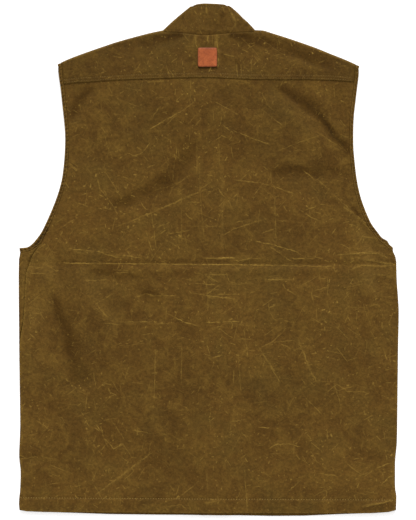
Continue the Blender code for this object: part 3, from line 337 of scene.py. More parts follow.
# Camera, floor and light, in metres.
CAMERA_PLACE = (-0.0011, -0.00075, 3.5)
LENS = 161.4
FLOOR_Z = -0.0003
FLOOR_REACH = 4.0
FLOOR_GLOW = 0.4
KEY_STRENGTH = 3.0
SKY_STRENGTH = 0.72

# Small creases of the back: x and y of one end, x and y of the other, half width, height, light wax line.
CREASES = (
    (-250.0, -4.4, -60.0, -5.6, 1.7, -0.12, 0.0), (-60.0, -5.6, 60.0, -6.2, 1.6, -0.2, 0.0),
    (60.0, -6.4, 262.0, -7.0, 1.7, -0.1, 0.0), (-86.0, -8.4, 84.0, -8.4, 1.6, 0.24, 0.12),
    (84.0, -8.6, 240.0, -10.4, 1.8, 0.2, 0.1), (-240.0, -6.6, -90.0, -7.6, 1.8, 0.24, 0.1),
    (-8.0, 2.2, 42.0, 1.6, 1.6, 0.4, 0.8), (44.0, -3.0, 63.0, 2.4, 1.5, 0.5, 0.9),
    (-226.0, 14.0, -150.0, 8.6, 3.0, 0.45, 0.3), (-150.0, 8.6, -104.0, 3.0, 3.0, 0.45, 0.2),
    (0.0, -17.0, 30.0, -23.5, 2.2, -0.5, 0.2), (84.0, -30.0, 122.0, -30.5, 2.4, 0.4, 0.4),
    (-2.0, -53.5, 42.0, -57.0, 2.4, -0.45, 0.2), (-96.0, -54.0, -66.0, -57.5, 2.6, -0.4, 0.0),
    (-150.0, -92.0, -60.0, -97.5, 3.0, 0.4, 0.2), (-2.0, -93.0, 64.0, -96.0, 2.8, 0.4, 0.2),
    (-180.0, -14.0, -128.0, -22.0, 6.0, -1.1, 0.0), (-132.0, -22.0, -96.0, -32.0, 6.0, -0.7, 0.0),
    (-104.0, -46.0, -72.0, -60.0, 6.0, -0.5, 0.0), (197.0, 7.1, 233.0, 10.1, 1.7, 0.55, 0.7),
    (233.0, 10.1, 258.5, 7.8, 1.7, 0.6, 0.8), (258.5, 7.8, 264.5, 3.8, 1.8, 0.5, 0.6),
    (230.0, -0.8, 255.5, -2.9, 1.8, 0.45, 0.5), (256.4, -4.2, 274.0, -7.6, 1.6, 0.7, 1.0),
    (212.4, -15.3, 225.2, -9.3, 2.0, 0.5, 0.6), (225.2, -9.3, 274.0, -9.6, 1.9, 0.5, 0.5),
    (248.5, -22.2, 274.0, -24.8, 2.2, 0.45, 0.5), (204.4, 77.3, 222.4, 65.3, 2.4, 0.5, 0.5),
    (222.4, 65.3, 237.4, 53.3, 2.2, 0.5, 0.5), (150.0, -24.0, 226.0, -30.0, 4.5, -0.45, 0.0),
    (196.0, 24.0, 250.0, 22.0, 4.0, -0.5, 0.0), (-262.0, 2.0, -246.0, -34.0, 3.0, -0.6, 0.0),
    (-246.0, -34.0, -220.0, -78.0, 4.0, -0.5, 0.0), (-230.0, 30.0, -196.0, 14.0, 3.5, 0.5, 0.2),
    (-268.0, -60.0, -262.0, -110.0, 4.0, 0.5, 0.2), (-216.0, 219.0, -186.0, 214.0, 3.0, -0.6, 0.0),
    (-214.0, 205.0, -190.0, 200.0, 3.0, 0.5, 0.2), (-213.0, 163.0, -180.0, 158.0, 3.4, -0.6, 0.0),
    (-214.0, 150.0, -192.0, 140.0, 3.0, 0.5, 0.2), (214.0, 190.0, 186.0, 178.0, 3.4, -0.5, 0.0),
    (215.0, 160.0, 196.0, 142.0, 3.4, 0.5, 0.2), (218.0, 118.0, 196.0, 104.0, 3.6, -0.5, 0.0),
    (-222.0, 108.0, -198.0, 92.0, 3.6, -0.5, 0.0), (232.0, 74.0, 206.0, 56.0, 3.4, -0.5, 0.0),
    (-20.9, 336.0, -18.1, 320.0, 1.8, 0.6, 0.8), (-1.1, 333.5, -1.1, 324.0, 1.8, 0.5, 0.6),
    (11.8, 335.0, 13.0, 320.0, 2.0, 0.9, 1.0), (13.0, 320.0, 14.6, 308.0, 2.0, 0.8, 0.7),
    (14.6, 308.0, 14.0, 291.0, 2.2, 0.6, 0.4), (-22.7, 297.8, -17.0, 288.3, 2.0, 0.6, 0.5),
    (-38.0, 339.0, -80.0, 332.0, 4.5, -1.5, 0.0), (-80.0, 332.0, -100.0, 324.0, 5.0, -1.0, 0.0),
    (34.0, 338.5, 54.0, 333.0, 4.0, -1.5, 0.0), (54.0, 333.0, 86.0, 326.5, 5.0, -1.5, 0.0),
    (86.0, 326.5, 174.0, 293.0, 6.0, -1.1, 0.0), (60.0, 343.0, 100.0, 333.0, 5.0, 1.0, 0.1),
    (-60.0, 343.0, -92.0, 333.0, 4.0, 0.7, 0.1), (176.0, 290.0, 206.0, 276.0, 5.0, -0.6, 0.0),
    (-120.0, 320.0, -150.0, 296.0, 6.0, -0.4, 0.0), (120.0, 300.0, 150.0, 280.0, 6.0, 0.4, 0.1),
    (108.0, 258.0, 126.0, 244.0, 5.0, -1.1, 0.0), (126.0, 244.0, 149.0, 232.0, 6.0, -1.4, 0.0),
    (149.0, 232.0, 169.0, 212.0, 6.5, -1.5, 0.0), (169.0, 212.0, 184.0, 189.0, 6.5, -1.5, 0.0),
    (184.0, 189.0, 201.0, 172.0, 5.5, -1.3, 0.0), (201.0, 172.0, 211.0, 158.0, 4.0, -1.1, 0.0),
    (160.0, 238.0, 204.0, 176.0, 9.0, 0.9, 0.1), (112.0, 236.0, 172.0, 180.0, 9.0, 0.6, 0.1),
    (8.0, 260.0, 14.0, 252.0, 3.5, -0.9, 0.0), (14.0, 252.0, 24.0, 238.0, 4.0, -1.0, 0.0),
    (24.0, 238.0, 40.0, 224.0, 4.0, -0.7, 0.0), (-180.0, 252.0, -196.0, 222.0, 6.0, -0.9, 0.0),
    (-172.0, 240.0, -192.0, 206.0, 7.0, 0.5, 0.0), (104.0, 134.0, 212.0, 127.0, 8.0, -0.9, 0.0),
    (-140.0, 82.0, -66.0, 112.0, 9.0, -0.9, 0.0), (-66.0, 112.0, -22.0, 164.0, 9.0, -0.8, 0.0),
    (-60.0, 128.0, -36.0, 176.0, 9.0, -0.5, 0.0), (166.0, 116.0, 204.0, 82.0, 3.0, 0.3, 0.1),
    (-84.0, 197.0, -38.0, 224.0, 2.0, 0.5, 0.2), (-86.0, 202.0, -44.0, 228.0, 5.0, -0.5, 0.0),
    (-15.0, 250.0, -14.5, -120.0, 3.0, 0.3, 0.1), (20.5, 140.0, 20.0, 8.0, 2.4, 0.35, 0.3),
    (-80.0, 200.0, -80.0, 60.0, 3.0, -0.2, 0.0), (53.0, 120.0, 54.0, -20.0, 3.0, -0.25, 0.0),
    (99.0, 110.0, 98.0, -10.0, 2.4, 0.2, 0.15), (-50.0, 60.0, -42.0, -10.0, 2.4, 0.2, 0.15),
    (134.0, -120.0, 155.0, -174.0, 2.2, 0.3, 0.45), (-226.0, -24.0, -212.0, -84.0, 8.0, -1.1, 0.0),
    (-212.0, -84.0, -204.0, -130.0, 8.0, -1.0, 0.0), (-204.0, -130.0, -184.0, -184.0, 8.0, -0.7, 0.0),
    (200.0, -140.0, 222.0, -176.0, 8.0, -0.5, 0.0), (-168.0, -352.0, -88.0, -292.0, 2.0, 0.3, 0.5),
    (230.0, -371.0, 279.0, -359.5, 2.0, 0.6, 0.7), (-280.0, -298.0, -244.0, -300.0, 2.6, -0.7, 0.3),
    (-276.0, -306.0, -252.0, -305.0, 2.4, 0.5, 0.3), (-60.0, -250.0, 10.0, -262.0, 4.0, 0.25, 0.1),
    (60.0, -220.0, 116.0, -240.0, 5.0, -0.3, 0.0), (-190.0, -210.0, -150.0, -262.0, 5.0, -0.3, 0.0),
    (150.0, -300.0, 214.0, -286.0, 5.0, 0.3, 0.1), (-110.0, -330.0, -40.0, -322.0, 4.0, -0.3, 0.0),
    (30.0, -318.0, 90.0, -334.0, 4.0, -0.3, 0.0),
)

# Thin wax lines of the back, along sharp little creases: strength, and the points that each runs through.
WAX_LINES = (
    (0.9, ((-28.1, -7.7), (28.9, -7.8), (86.9, -8.7))),
    (0.55, ((86.9, -8.7), (136.9, -9.8), (181.9, -10.7))),
    (0.9, ((-6.4, 1.5), (39.7, 2.5))),
    (0.9, ((40.9, -1.8), (46.6, -4.3), (51.4, -3.5), (63.4, 2.5))),
    (0.8, ((67.0, 1.2), (77.6, 1.2))),
    (0.6, ((126.1, 1.2), (154.7, 1.2))),
    (0.6, ((73.9, 26.7), (103.7, 20.0), (132.4, 11.2))),
    (0.4, ((94.4, 17.4), (122.3, -1.8))),
    (0.5, ((23.5, 37.4), (37.9, 46.0), (77.6, 58.5))),
    (0.5, ((39.7, 119.4), (77.6, 114.5), (96.2, 109.5), (124.9, 99.5))),
    (0.3, ((-14.5, 130.6), (-10.7, 69.8), (-7.6, 37.4))),
    (0.4, ((98.8, 92.2), (100.0, 52.2), (101.2, 29.9))),
    (0.5, ((136.1, 74.5), (155.9, 62.2), (166.9, 57.8))),
    (0.5, ((143.5, 131.9), (155.9, 122.5))),
    (0.35, ((81.4, 39.8), (96.2, 45.5))),
    (0.35, ((70.1, 99.5), (79.9, 111.9))),
    (0.35, ((-11.9, 105.8), (1.1, 114.5))),
    (0.4, ((-28.1, 85.8), (-14.6, 85.8))),
    (0.5, ((14.8, 105.1), (24.1, 93.3))),
    (0.4, ((15.4, 124.4), (21.7, 116.9))),
    (0.6, ((148.4, 75.3), (157.1, 78.3))),
    (0.3, ((30.4, 89.5), (34.1, 77.2))),
    (0.6, ((44.6, 56.5), (51.4, 57.8))),
    (0.5, ((107.5, 57.8), (113.6, 57.8))),
    (0.35, ((-5.6, 94.5), (1.1, 99.5))),
    (0.4, ((-16.1, -21.2), (27.4, -23.0))),
    (0.3, ((112.4, 41.2), (126.1, 47.2))),
    (0.25, ((-28.1, 49.8), (19.9, 49.8))),
    (0.8, ((-212.2, -5.5), (-133.9, -6.2))),
    (0.6, ((-133.9, -6.2), (-73.1, -6.8), (-28.1, -7.7))),
    (0.7, ((-207.2, 15.8), (-186.1, 13.8), (-164.9, 11.9), (-146.2, 5.2), (-133.7, 3.2))),
    (0.6, ((-127.6, 6.3), (-103.9, 2.5))),
    (0.5, ((-136.3, -19.8), (-115.1, -19.8))),
    (0.4, ((-140.0, -15.5), (-125.0, -16.7))),
    (0.5, ((-182.3, -31.7), (-156.2, -30.5))),
    (0.6, ((-156.2, -96.3), (-133.9, -97.5))),
    (0.6, ((-133.9, -93.8), (-86.6, -93.2))),
    (0.5, ((-105.2, -55.2), (-94.1, -51.6), (-73.1, -54.6))),
    (0.4, ((-205.9, -76.3), (-193.4, -78.3))),
    (0.5, ((-163.6, -72.8), (-154.9, -83.8))),
    (0.5, ((-268.1, -11.1), (-251.9, -12.3))),
    (0.4, ((-268.1, -20.2), (-247.1, -21.8))),
    (0.5, ((-243.2, -8.0), (-229.6, -16.7))),
    (0.4, ((-258.2, 13.2), (-240.8, -1.8))),
    (0.4, ((-268.1, -65.2), (-255.7, -55.2))),
    (0.4, ((-268.1, -82.7), (-260.6, -76.3))),
    (0.4, ((-194.8, -85.0), (-186.1, -97.5))),
    (0.4, ((-133.9, -126.2), (-121.4, -121.2))),
    (0.4, ((-167.3, -65.8), (-148.7, -54.0))),
    (0.7, ((-85.1, 197.4), (-37.6, 224.2))),
    (0.35, ((-37.6, 224.2), (-23.8, 234.9))),
    (0.35, ((-87.4, 209.0), (-70.6, 232.6))),
    (0.35, ((-65.9, 199.0), (-51.4, 213.8))),
    (0.6, ((-46.7, 240.3), (-38.3, 248.0))),
    (0.6, ((-111.1, 155.4), (-100.4, 159.1), (-89.6, 172.2))),
    (0.5, ((-120.2, 159.1), (-109.6, 154.6))),
    (0.45, ((-155.6, 182.9), (-147.8, 159.9))),
    (0.4, ((-160.1, 196.6), (-152.6, 187.5))),
    (0.4, ((-148.6, 159.9), (-132.5, 164.5))),
    (0.5, ((-132.5, 152.2), (-124.1, 157.6))),
    (0.5, ((-48.4, 164.5), (-49.1, 153.8))),
    (0.5, ((-48.4, 153.8), (-36.1, 146.2))),
    (0.35, ((-140.2, 218.2), (-124.9, 215.9))),
    (0.4, ((-121.1, 202.8), (-121.7, 195.1))),
    (0.4, ((-121.7, 256.4), (-104.9, 253.4))),
    (0.45, ((-89.6, 266.2), (-68.2, 267.8))),
    (0.4, ((-17.6, 216.8), (-17.6, 204.3))),
    (0.3, ((-17.6, 176.9), (-17.6, 134.2))),
    (0.3, ((-26.9, 271.6), (-28.4, 238.0))),
    (0.35, ((-161.6, 290.2), (-157.1, 282.8))),
    (0.4, ((80.6, -141.5), (105.4, -181.7))),
    (0.5, ((141.8, -137.7), (149.5, -160.7), (160.9, -181.7))),
    (0.6, ((91.1, -283.0), (99.8, -277.3), (120.8, -276.5), (134.2, -280.2))),
    (0.7, ((78.7, -251.5), (88.3, -252.5))),
    (0.5, ((36.7, -242.8), (53.8, -240.0))),
    (0.8, ((255.7, -310.8), (279.4, -303.2))),
    (0.8, ((262.4, -333.8), (270.1, -326.1), (279.4, -324.2))),
    (0.5, ((262.4, -319.3), (279.4, -313.7))),
    (0.7, ((237.4, -370.2), (277.7, -360.6))),
    (0.5, ((6.1, -147.3), (17.5, -144.3))),
    (0.5, ((37.6, -168.3), (37.6, -183.6))),
    (0.3, ((44.3, -143.2), (48.1, -195.0))),
    (0.5, ((118.9, -348.2), (136.1, -332.8))),
    (0.4, ((144.7, -206.5), (166.7, -229.5))),
    (0.4, ((188.8, -189.3), (197.3, -216.2))),
    (0.5, ((196.4, -196.0), (212.6, -191.2))),
    (0.4, ((206.9, -198.0), (241.3, -198.8))),
    (0.4, ((156.2, -319.3), (189.7, -324.2))),
    (0.4, ((180.1, -290.7), (192.4, -278.2))),
    (0.6, ((262.4, -135.8), (266.2, -147.3))),
    (0.5, ((271.9, -135.8), (271.9, -149.2))),
    (0.4, ((53.8, -317.2), (57.7, -374.8))),
    (0.5, ((12.1, 234.9), (32.8, 223.5), (43.6, 217.4))),
    (0.35, ((80.2, 248.7), (87.8, 231.9), (97.1, 223.5))),
    (0.4, ((84.8, 221.2), (107.8, 202.8))),
    (0.5, ((23.6, 199.8), (29.8, 195.1))),
    (0.5, ((37.4, 192.9), (63.4, 182.2), (89.5, 173.0))),
    (0.3, ((106.3, 163.8), (139.9, 176.9), (167.5, 186.8))),
    (0.6, ((109.3, 264.0), (106.9, 257.9))),
    (0.35, ((142.9, 246.8), (145.9, 251.9), (164.5, 250.2))),
    (0.3, ((15.2, 186.0), (16.0, 143.2))),
    (0.35, ((170.5, 186.0), (198.1, 167.5))),
    (0.35, ((63.4, 299.2), (64.1, 281.0))),
    (0.4, ((41.9, 290.2), (43.6, 274.8))),
    (0.35, ((52.7, 290.2), (58.9, 284.2))),
    (0.4, ((-165.5, 117.1), (-164.2, 107.7), (-146.2, 84.9), (-137.6, 70.2))),
    (0.45, ((-136.1, 49.5), (-121.3, 55.5), (-86.6, 70.2), (-58.4, 82.4), (-22.1, 98.4))),
    (0.4, ((-53.6, 108.5), (-35.6, 121.8))),
    (0.5, ((-43.7, 101.2), (-37.1, 106.4))),
    (0.4, ((-75.8, 48.8), (-60.4, 54.8))),
    (0.35, ((-59.0, 38.2), (-28.9, 43.5))),
    (0.5, ((-33.7, 67.5), (-25.6, 60.1))),
    (0.3, ((-51.7, 149.2), (-53.6, 119.9))),
    (0.3, ((-41.0, 91.6), (-40.7, 28.6))),
    (0.3, ((-77.2, 97.0), (-86.6, 74.2), (-83.8, 55.5))),
    (0.4, ((-89.2, 138.8), (-82.4, 141.8))),
    (0.4, ((-223.1, 47.4), (-204.4, 58.2))),
    (0.4, ((-207.1, 142.5), (-199.1, 135.8))),
    (0.5, ((-167.8, -351.5), (-87.7, -291.3))),
    (0.6, ((-214.3, -179.2), (-198.7, -193.0))),
    (0.4, ((-79.9, -138.0), (-81.7, -205.2))),
    (0.4, ((-40.3, -134.5), (-41.2, -182.7))),
    (0.7, ((-279.7, -299.0), (-259.1, -295.5))),
    (0.6, ((-154.0, -270.6), (-142.7, -283.5), (-131.6, -279.2))),
    (0.5, ((-168.7, -248.2), (-162.5, -255.8))),
    (0.5, ((-109.1, -256.8), (-85.1, -261.2))),
    (0.4, ((-234.1, -309.3), (-207.4, -319.7))),
    (0.25, ((-264.2, -281.0), (-238.3, -246.5))),
    (0.35, ((-257.3, -241.3), (-235.1, -257.7))),
    (0.5, ((-222.8, -239.5), (-214.3, -244.8))),
    (0.4, ((-164.3, -192.2), (-154.9, -183.6))),
    (0.35, ((-142.1, -246.5), (-128.2, -267.2))),
    (0.35, ((-128.2, -277.5), (-114.4, -298.2))),
    (0.5, ((-148.7, -198.3), (-140.2, -203.2))),
    (0.35, ((-138.5, -208.7), (-119.6, -205.2))),
    (0.5, ((-38.6, -351.5), (-21.4, -337.8))),
    (0.45, ((-59.2, -370.5), (-42.1, -367.0), (-31.7, -375.8))),
    (0.35, ((-197.0, -377.2), (-179.8, -361.8))),
    (0.4, ((-81.7, -206.8), (-69.5, -212.1))),
    (0.35, ((-193.6, -234.5), (-179.8, -229.2))),
    (0.5, ((-237.5, -336.8), (-228.1, -335.2))),
    (0.4, ((-181.6, -143.1), (-171.2, -136.2))),
    (0.6, ((-17.6, -36.0), (6.5, -37.8))),
    (0.5, ((1.4, -26.5), (13.4, -33.5))),
    (0.4, ((-2.0, -51.6), (15.2, -38.7))),
    (0.6, ((-17.6, -50.7), (-2.0, -54.2), (37.6, -59.2))),
    (0.5, ((15.2, -52.3), (39.4, -52.3))),
    (0.5, ((-7.1, -23.1), (23.8, -23.1))),
    (0.9, ((-58.9, -82.5), (-34.7, -94.7), (-19.3, -98.8))),
    (0.9, ((-2.0, -94.7), (42.8, -92.8))),
    (0.5, ((46.3, -98.1), (68.6, -99.8))),
    (0.6, ((-77.8, -95.8), (-58.9, -95.8))),
    (0.7, ((87.4, -30.3), (123.7, -30.3))),
    (0.5, ((159.8, -46.3), (175.4, -42.2))),
    (0.5, ((118.6, -46.3), (133.9, -55.0))),
    (0.6, ((90.1, -66.2), (90.1, -73.0))),
    (0.5, ((115.1, -92.1), (125.5, -94.7))),
    (0.35, ((80.6, -130.8), (94.4, -124.8), (115.1, -104.1))),
    (0.45, ((101.3, -123.8), (125.5, -121.3))),
    (0.4, ((109.9, -127.3), (130.6, -137.7))),
    (0.45, ((77.2, -135.2), (97.9, -165.8))),
    (0.45, ((135.8, -124.8), (144.4, -147.2), (151.3, -164.2))),
    (0.4, ((43.6, -119.5), (64.3, -119.5))),
    (0.4, ((53.0, -107.5), (58.3, -143.7))),
    (0.4, ((-80.3, -136.8), (-80.3, -165.8))),
    (0.35, ((-2.9, -38.2), (-1.1, -74.2))),
    (0.5, ((-88.1, -54.2), (-53.6, -54.5))),
    (0.4, ((-70.1, -119.5), (-58.9, -114.5))),
    (0.4, ((-45.1, -118.7), (-31.3, -115.3))),
    (0.4, ((-30.4, -137.7), (-23.6, -129.8))),
    (0.5, ((5.8, -148.0), (13.4, -144.6))),
    (0.8, ((196.9, 7.0), (232.9, 10.0), (258.4, 7.8), (264.4, 3.8))),
    (0.5, ((229.9, -0.8), (255.4, -2.8))),
    (1.0, ((256.3, -4.2), (282.1, -7.7))),
    (0.5, ((212.3, -15.3), (225.2, -9.3), (280.9, -9.3))),
    (0.5, ((248.5, -22.2), (280.9, -24.8))),
    (0.6, ((204.4, 77.2), (222.4, 65.2), (237.4, 53.2))),
    (0.35, ((166.9, 116.2), (204.4, 81.8), (249.4, 36.8))),
    (0.35, ((-118.1, 56.2), (-5.6, 104.2))),
    (0.5, ((133.9, -120.8), (154.9, -173.2))),
    (0.9, ((11.8, 335.2), (12.8, 320.2), (14.6, 308.2), (13.9, 291.8))),
    (0.7, ((-20.9, 336.8), (-18.1, 320.2))),
    (0.6, ((-1.1, 334.2), (-1.1, 327.3))),
    (0.5, ((-22.7, 297.8), (-17.0, 288.3))),
)

# Darker and paler strokes: x and y of one end, x and y of the other, half width, and tone, below 0 for dark and
# above it for pale. The pale strokes are lighter wax; the strong dark ones are painted shade and painted
# shadow, in the troughs of the folds, at the neck, in the wedge at the left underarm seam and under the leather
# patch.
# The faint broad dark strokes are partly darker wax and partly painted shade.
TONE_AND_SHADE_STROKES = (
    (-259.1, -12.8, -259.1, -12.8, 23.1, 0.675), (-224.6, -18.8, -215.6, -18.8, 19.8, 0.525),
    (-199.1, -63.8, -163.1, -63.8, 16.5, 0.375), (253.9, -6.8, 259.9, -6.8, 19.8, 0.525),
    (50.6, 324.8, 109.1, 324.8, 7.4, -0.378), (43.1, 330.8, 59.6, 330.8, 5.8, -0.378),
    (111.4, 306.8, 162.4, 306.8, 8.2, -0.252), (-78.4, 330.8, -49.9, 330.8, 5.8, -0.378),
    (-95.6, 321.8, -80.6, 321.8, 8.2, -0.252), (19.9, 365.2, 19.9, 365.2, 8.2, -0.336),
    (4.9, 354.8, 7.9, 354.8, 9.9, -0.294), (-22.1, 372.8, -7.1, 372.8, 4.9, -0.168),
    (42.4, 362.2, 42.4, 353.2, 8.2, 0.45), (-38.6, 353.2, -32.6, 353.2, 9.9, 0.375),
    (-14.6, 347.2, 0.4, 347.2, 4.9, 0.225), (-70.1, 117.8, -61.1, 117.8, 14.9, -0.378),
    (-140.6, 87.8, -119.6, 87.8, 9.9, -0.336), (-94.1, 101.2, -88.1, 101.2, 11.6, -0.21),
    (-174.4, -15.8, -130.9, -15.8, 7.4, -0.42), (-136.1, -24.8, -106.1, -24.8, 9.9, -0.294),
    (-237.1, -32.2, -223.7, -74.2, 6.8, -0.45), (-223.7, -74.2, -208.1, -138.8, 7.5, -0.45),
    (-208.1, -138.8, -199.6, -179.2, 9.0, -0.35), (-98.6, -48.8, -77.6, -48.8, 4.9, -0.336),
    (-95.6, -62.2, -74.6, -62.2, 6.6, -0.21), (-4.1, 9.8, 43.9, 9.8, 6.6, -0.252),
    (-26.6, 23.2, -20.6, 23.2, 9.9, -0.294), (46.9, 72.8, 46.9, 69.8, 13.2, -0.252),
    (93.4, 132.8, 141.4, 132.8, 9.9, -0.378), (135.4, 125.2, 162.4, 125.2, 8.2, -0.294),
    (-13.1, 108.8, -13.1, 69.8, 14.9, -0.21), (-34.1, 224.2, -34.1, 218.2, 19.8, -0.252),
    (-47.6, 167.2, -47.6, 161.2, 19.8, -0.21), (-203.6, 188.2, -188.6, 188.2, 6.6, -0.252),
    (-208.1, 161.2, -199.1, 161.2, 4.9, -0.21), (48.4, 234.8, 75.4, 234.8, 11.6, -0.252),
    (24.4, 248.2, 24.4, 239.2, 8.2, -0.294), (165.4, 149.2, 183.4, 149.2, 13.2, -0.21),
    (192.4, 224.2, 195.4, 224.2, 14.9, 0.375), (121.9, 186.8, 151.9, 186.8, 19.8, 0.225),
    (54.4, 14.2, 69.4, 14.2, 6.6, 0.225), (-184.1, -39.8, -142.1, -39.8, 9.9, 0.6),
    (-233.6, -3.8, -212.6, -3.8, 8.2, 0.375), (-245.6, -3.8, -245.6, -3.8, 16.5, 0.3),
    (-265.1, -71.2, -265.1, -110.2, 14.9, 0.6), (-259.1, -149.2, -259.1, -182.2, 14.9, 0.45),
    (-229.1, -38.2, -211.1, -38.2, 13.2, 0.375), (-148.1, 29.2, -88.1, 29.2, 9.9, 0.225),
    (-8.6, -12.8, 102.4, -12.8, 4.9, 0.375), (154.9, 11.2, 208.9, 11.2, 13.2, 0.3),
    (264.4, -14.2, 264.4, -107.2, 14.9, 0.375), (250.9, -141.8, 250.9, -174.8, 14.9, 0.375),
    (271.9, -204.8, 271.9, -276.8, 9.9, 0.3), (136.9, -282.8, 136.9, -288.8, 16.5, -0.126),
    (181.9, -203.2, 181.9, -203.2, 19.8, -0.168), (52.9, -270.8, 70.9, -270.8, 23.1, -0.126),
    (-148.1, -213.8, -148.1, -267.8, 19.8, -0.126), (85.9, -203.2, 127.9, -203.2, 26.4, -0.126),
    (-43.1, -123.8, -43.1, -147.8, 19.8, -0.084), (-92.6, -300.8, -68.6, -300.8, 9.9, -0.168),
    (201.4, 359.2, 207.4, 359.2, 9.9, -0.126), (-193.1, 299.2, -133.1, 299.2, 9.9, -0.168),
    (88.9, 302.2, 124.9, 302.2, 13.2, -0.168), (150.4, 296.2, 183.4, 296.2, 8.2, -0.252),
    (19.9, -60.8, 73.9, -60.8, 13.2, 0.15), (109.3, 257.9, 129.4, 243.8, 4.8, -0.5),
    (129.4, 243.8, 148.9, 231.8, 4.8, -0.9), (148.9, 231.8, 168.4, 212.2, 4.9, -1.1),
    (168.4, 212.2, 184.9, 189.0, 4.9, -1.15), (184.9, 189.0, 201.4, 171.8, 4.2, -1.1),
    (201.4, 171.8, 210.4, 158.2, 3.0, -0.8), (-171.5, 260.1, -196.1, 237.8, 5.4, -0.42),
    (-196.1, 237.8, -208.9, 213.1, 5.4, -0.42), (-241.9, 45.8, -256.1, 24.8, 3.0, -1.2),
    (-256.1, 24.8, -268.1, -3.8, 3.4, -1.5), (-14.6, 286.6, 10.9, 286.0, 2.1, -1.3),
    (-65.6, 212.2, 61.9, 179.2, 45.0, -0.35), (79.9, 231.8, 163.9, 221.2, 21.0, -0.25),
    (115.9, 323.2, 154.9, 306.8, 13.5, -0.3), (-169.1, 29.2, -43.1, 20.2, 13.5, -0.2),
    (-247.1, -3.8, -223.1, -42.8, 15.0, 1.2), (229.9, 32.2, 244.9, -38.2, 15.0, 0.9),
    (216.4, 77.2, 235.9, 54.8, 3.8, -0.7), (235.9, 54.8, 264.4, 29.2, 4.5, -0.7),
    (202.9, 206.2, 211.9, 205.5, 1.8, -0.6), (201.4, 192.8, 211.9, 192.0, 1.8, -0.6),
    (202.9, 153.8, 213.4, 155.2, 2.1, -0.6), (205.9, 143.2, 214.9, 142.5, 1.8, -0.5),
    (-193.1, -24.8, -145.1, -87.8, 19.5, 0.65), (-41.6, 337.0, -61.1, 333.0, 2.8, -1.1),
    (-61.1, 333.0, -79.1, 330.0, 4.8, -0.6), (34.9, 337.6, 48.4, 334.0, 2.7, -1.2),
    (48.4, 334.4, 61.9, 333.5, 3.9, -0.8), (-28.9, 300.8, -17.6, 288.0, 3.6, -0.7),
    (19.9, 305.2, 26.6, 297.0, 4.5, -0.6), (41.6, 297.8, 46.1, 282.8, 3.6, -0.7),
    (102.4, 330.8, 124.9, 321.8, 5.4, -0.5), (22.9, 368.2, 15.4, 357.8, 4.5, -0.5),
    (250.9, 26.2, 274.9, -23.2, 15.0, 0.5), (189.4, 269.2, 204.4, 201.8, 18.0, -0.4),
    (-160.1, -158.2, -145.1, -270.8, 33.0, -0.32), (-256.1, -54.8, -244.1, -120.8, 13.5, 0.35),
    (9.4, 36.8, 46.9, -0.8, 24.0, 0.3), (79.9, 35.2, 136.9, 23.2, 21.0, 0.3),
    (136.9, -293.2, 181.9, -315.8, 24.0, -0.16), (183.4, 260.2, 198.4, 243.8, 4.5, -0.45),
    (198.4, 243.8, 207.4, 227.2, 3.9, -0.5),
)

# Creases of the hidden fronts, which rise off the floor: the same columns.
FLOOR_CREASES = (
    (-252.0, -6.0, -40.0, -7.5, 2.6, 0.9, 0.6), (40.0, -7.0, 262.0, -5.5, 2.6, 0.9, 0.6),
    (-240.0, 20.0, -150.0, -22.0, 5.0, 0.8, 0.2), (232.0, 24.0, 150.0, -18.0, 5.0, 0.8, 0.2),
    (-190.0, 170.0, -120.0, 100.0, 7.0, 0.9, 0.0), (186.0, 180.0, 104.0, 120.0, 7.0, 0.9, 0.0),
    (-150.0, 250.0, -90.0, 200.0, 6.0, 0.7, 0.1), (140.0, 262.0, 84.0, 214.0, 6.0, 0.8, 0.1),
    (-230.0, -120.0, -170.0, -190.0, 6.0, 0.8, 0.2), (224.0, -90.0, 140.0, -150.0, 7.0, 0.9, 0.2),
    (-120.0, -230.0, -50.0, -262.0, 5.0, 0.7, 0.2), (60.0, -210.0, 150.0, -268.0, 6.0, 0.8, 0.1),
    (-250.0, -300.0, -190.0, -280.0, 5.0, 0.7, 0.2), (180.0, -320.0, 256.0, -296.0, 5.0, 0.7, 0.2),
    (-90.0, 60.0, -40.0, 20.0, 4.0, 0.6, 0.3), (70.0, 70.0, 130.0, 34.0, 4.0, 0.6, 0.3),
    (-60.0, 160.0, -34.0, 110.0, 5.0, 0.6, 0.1), (44.0, -60.0, 80.0, -130.0, 5.0, 0.6, 0.1),
)

# Creases of the collar, the same columns.
COLLAR_CREASES = (
    (-2.6, 383.0, -3.2, 368.0, 1.4, 0.5, 0.9), (28.0, 378.0, 38.0, 358.0, 2.0, 0.5, 0.8),
    (38.0, 358.0, 40.0, 346.0, 2.2, 0.4, 0.4), (-46.0, 360.0, -24.0, 352.0, 4.0, -0.5, 0.0),
    (-30.0, 344.0, 34.0, 343.0, 3.0, 0.5, 0.1), (6.0, 372.0, 30.0, 362.0, 4.0, -0.4, 0.0),
    (-20.0, 364.0, -8.0, 350.0, 3.0, 0.3, 0.2), (52.0, 352.0, 30.0, 350.0, 4.0, -0.5, 0.0),
)

# Waviness of the cloth: rows of (wave length across, wave length up, turn, height).
WAVES = (
    (61.0, 83.0, 0.4, 0.16), (37.0, 49.0, 1.9, 0.13), (23.0, 31.0, 4.1, 0.09), (15.5, 12.5, 2.7, 0.06),
    (9.7, 11.9, 5.3, 0.035),
)

# Spans of y where the back's rows are close together: the hem and the packing crease.
CLOSE_SPANS = ((-380.0, -353.0), (-13.0, 4.0))

# Hem: the stitch row's y at the left and right, the small ropes that slant across the turned cloth, the groove
# under the stitches and the drop of an edge.
HEM_STITCH_LEFT = -357.2
HEM_STITCH_RIGHT = -360.8
HEM_ROPE_STEP = 13.0
HEM_ROPE_HEIGHT = 0.28
HEM_PUFF = 0.45
GROOVE_WIDTH = 1.1
GROOVE_DEPTH = 0.35
EDGE_DROP = 0.7
PUCKER_STEP = 8.5

# Yoke: distances from its lower edge of the closest rows and of the two stitch rows.
YOKE_ROWS = (0.0, 0.5, 1.2, 2.0, 2.9, 4.2, 5.6, 6.5, 7.4, 9.0)
YOKE_STITCHES = (2.0, 6.5)

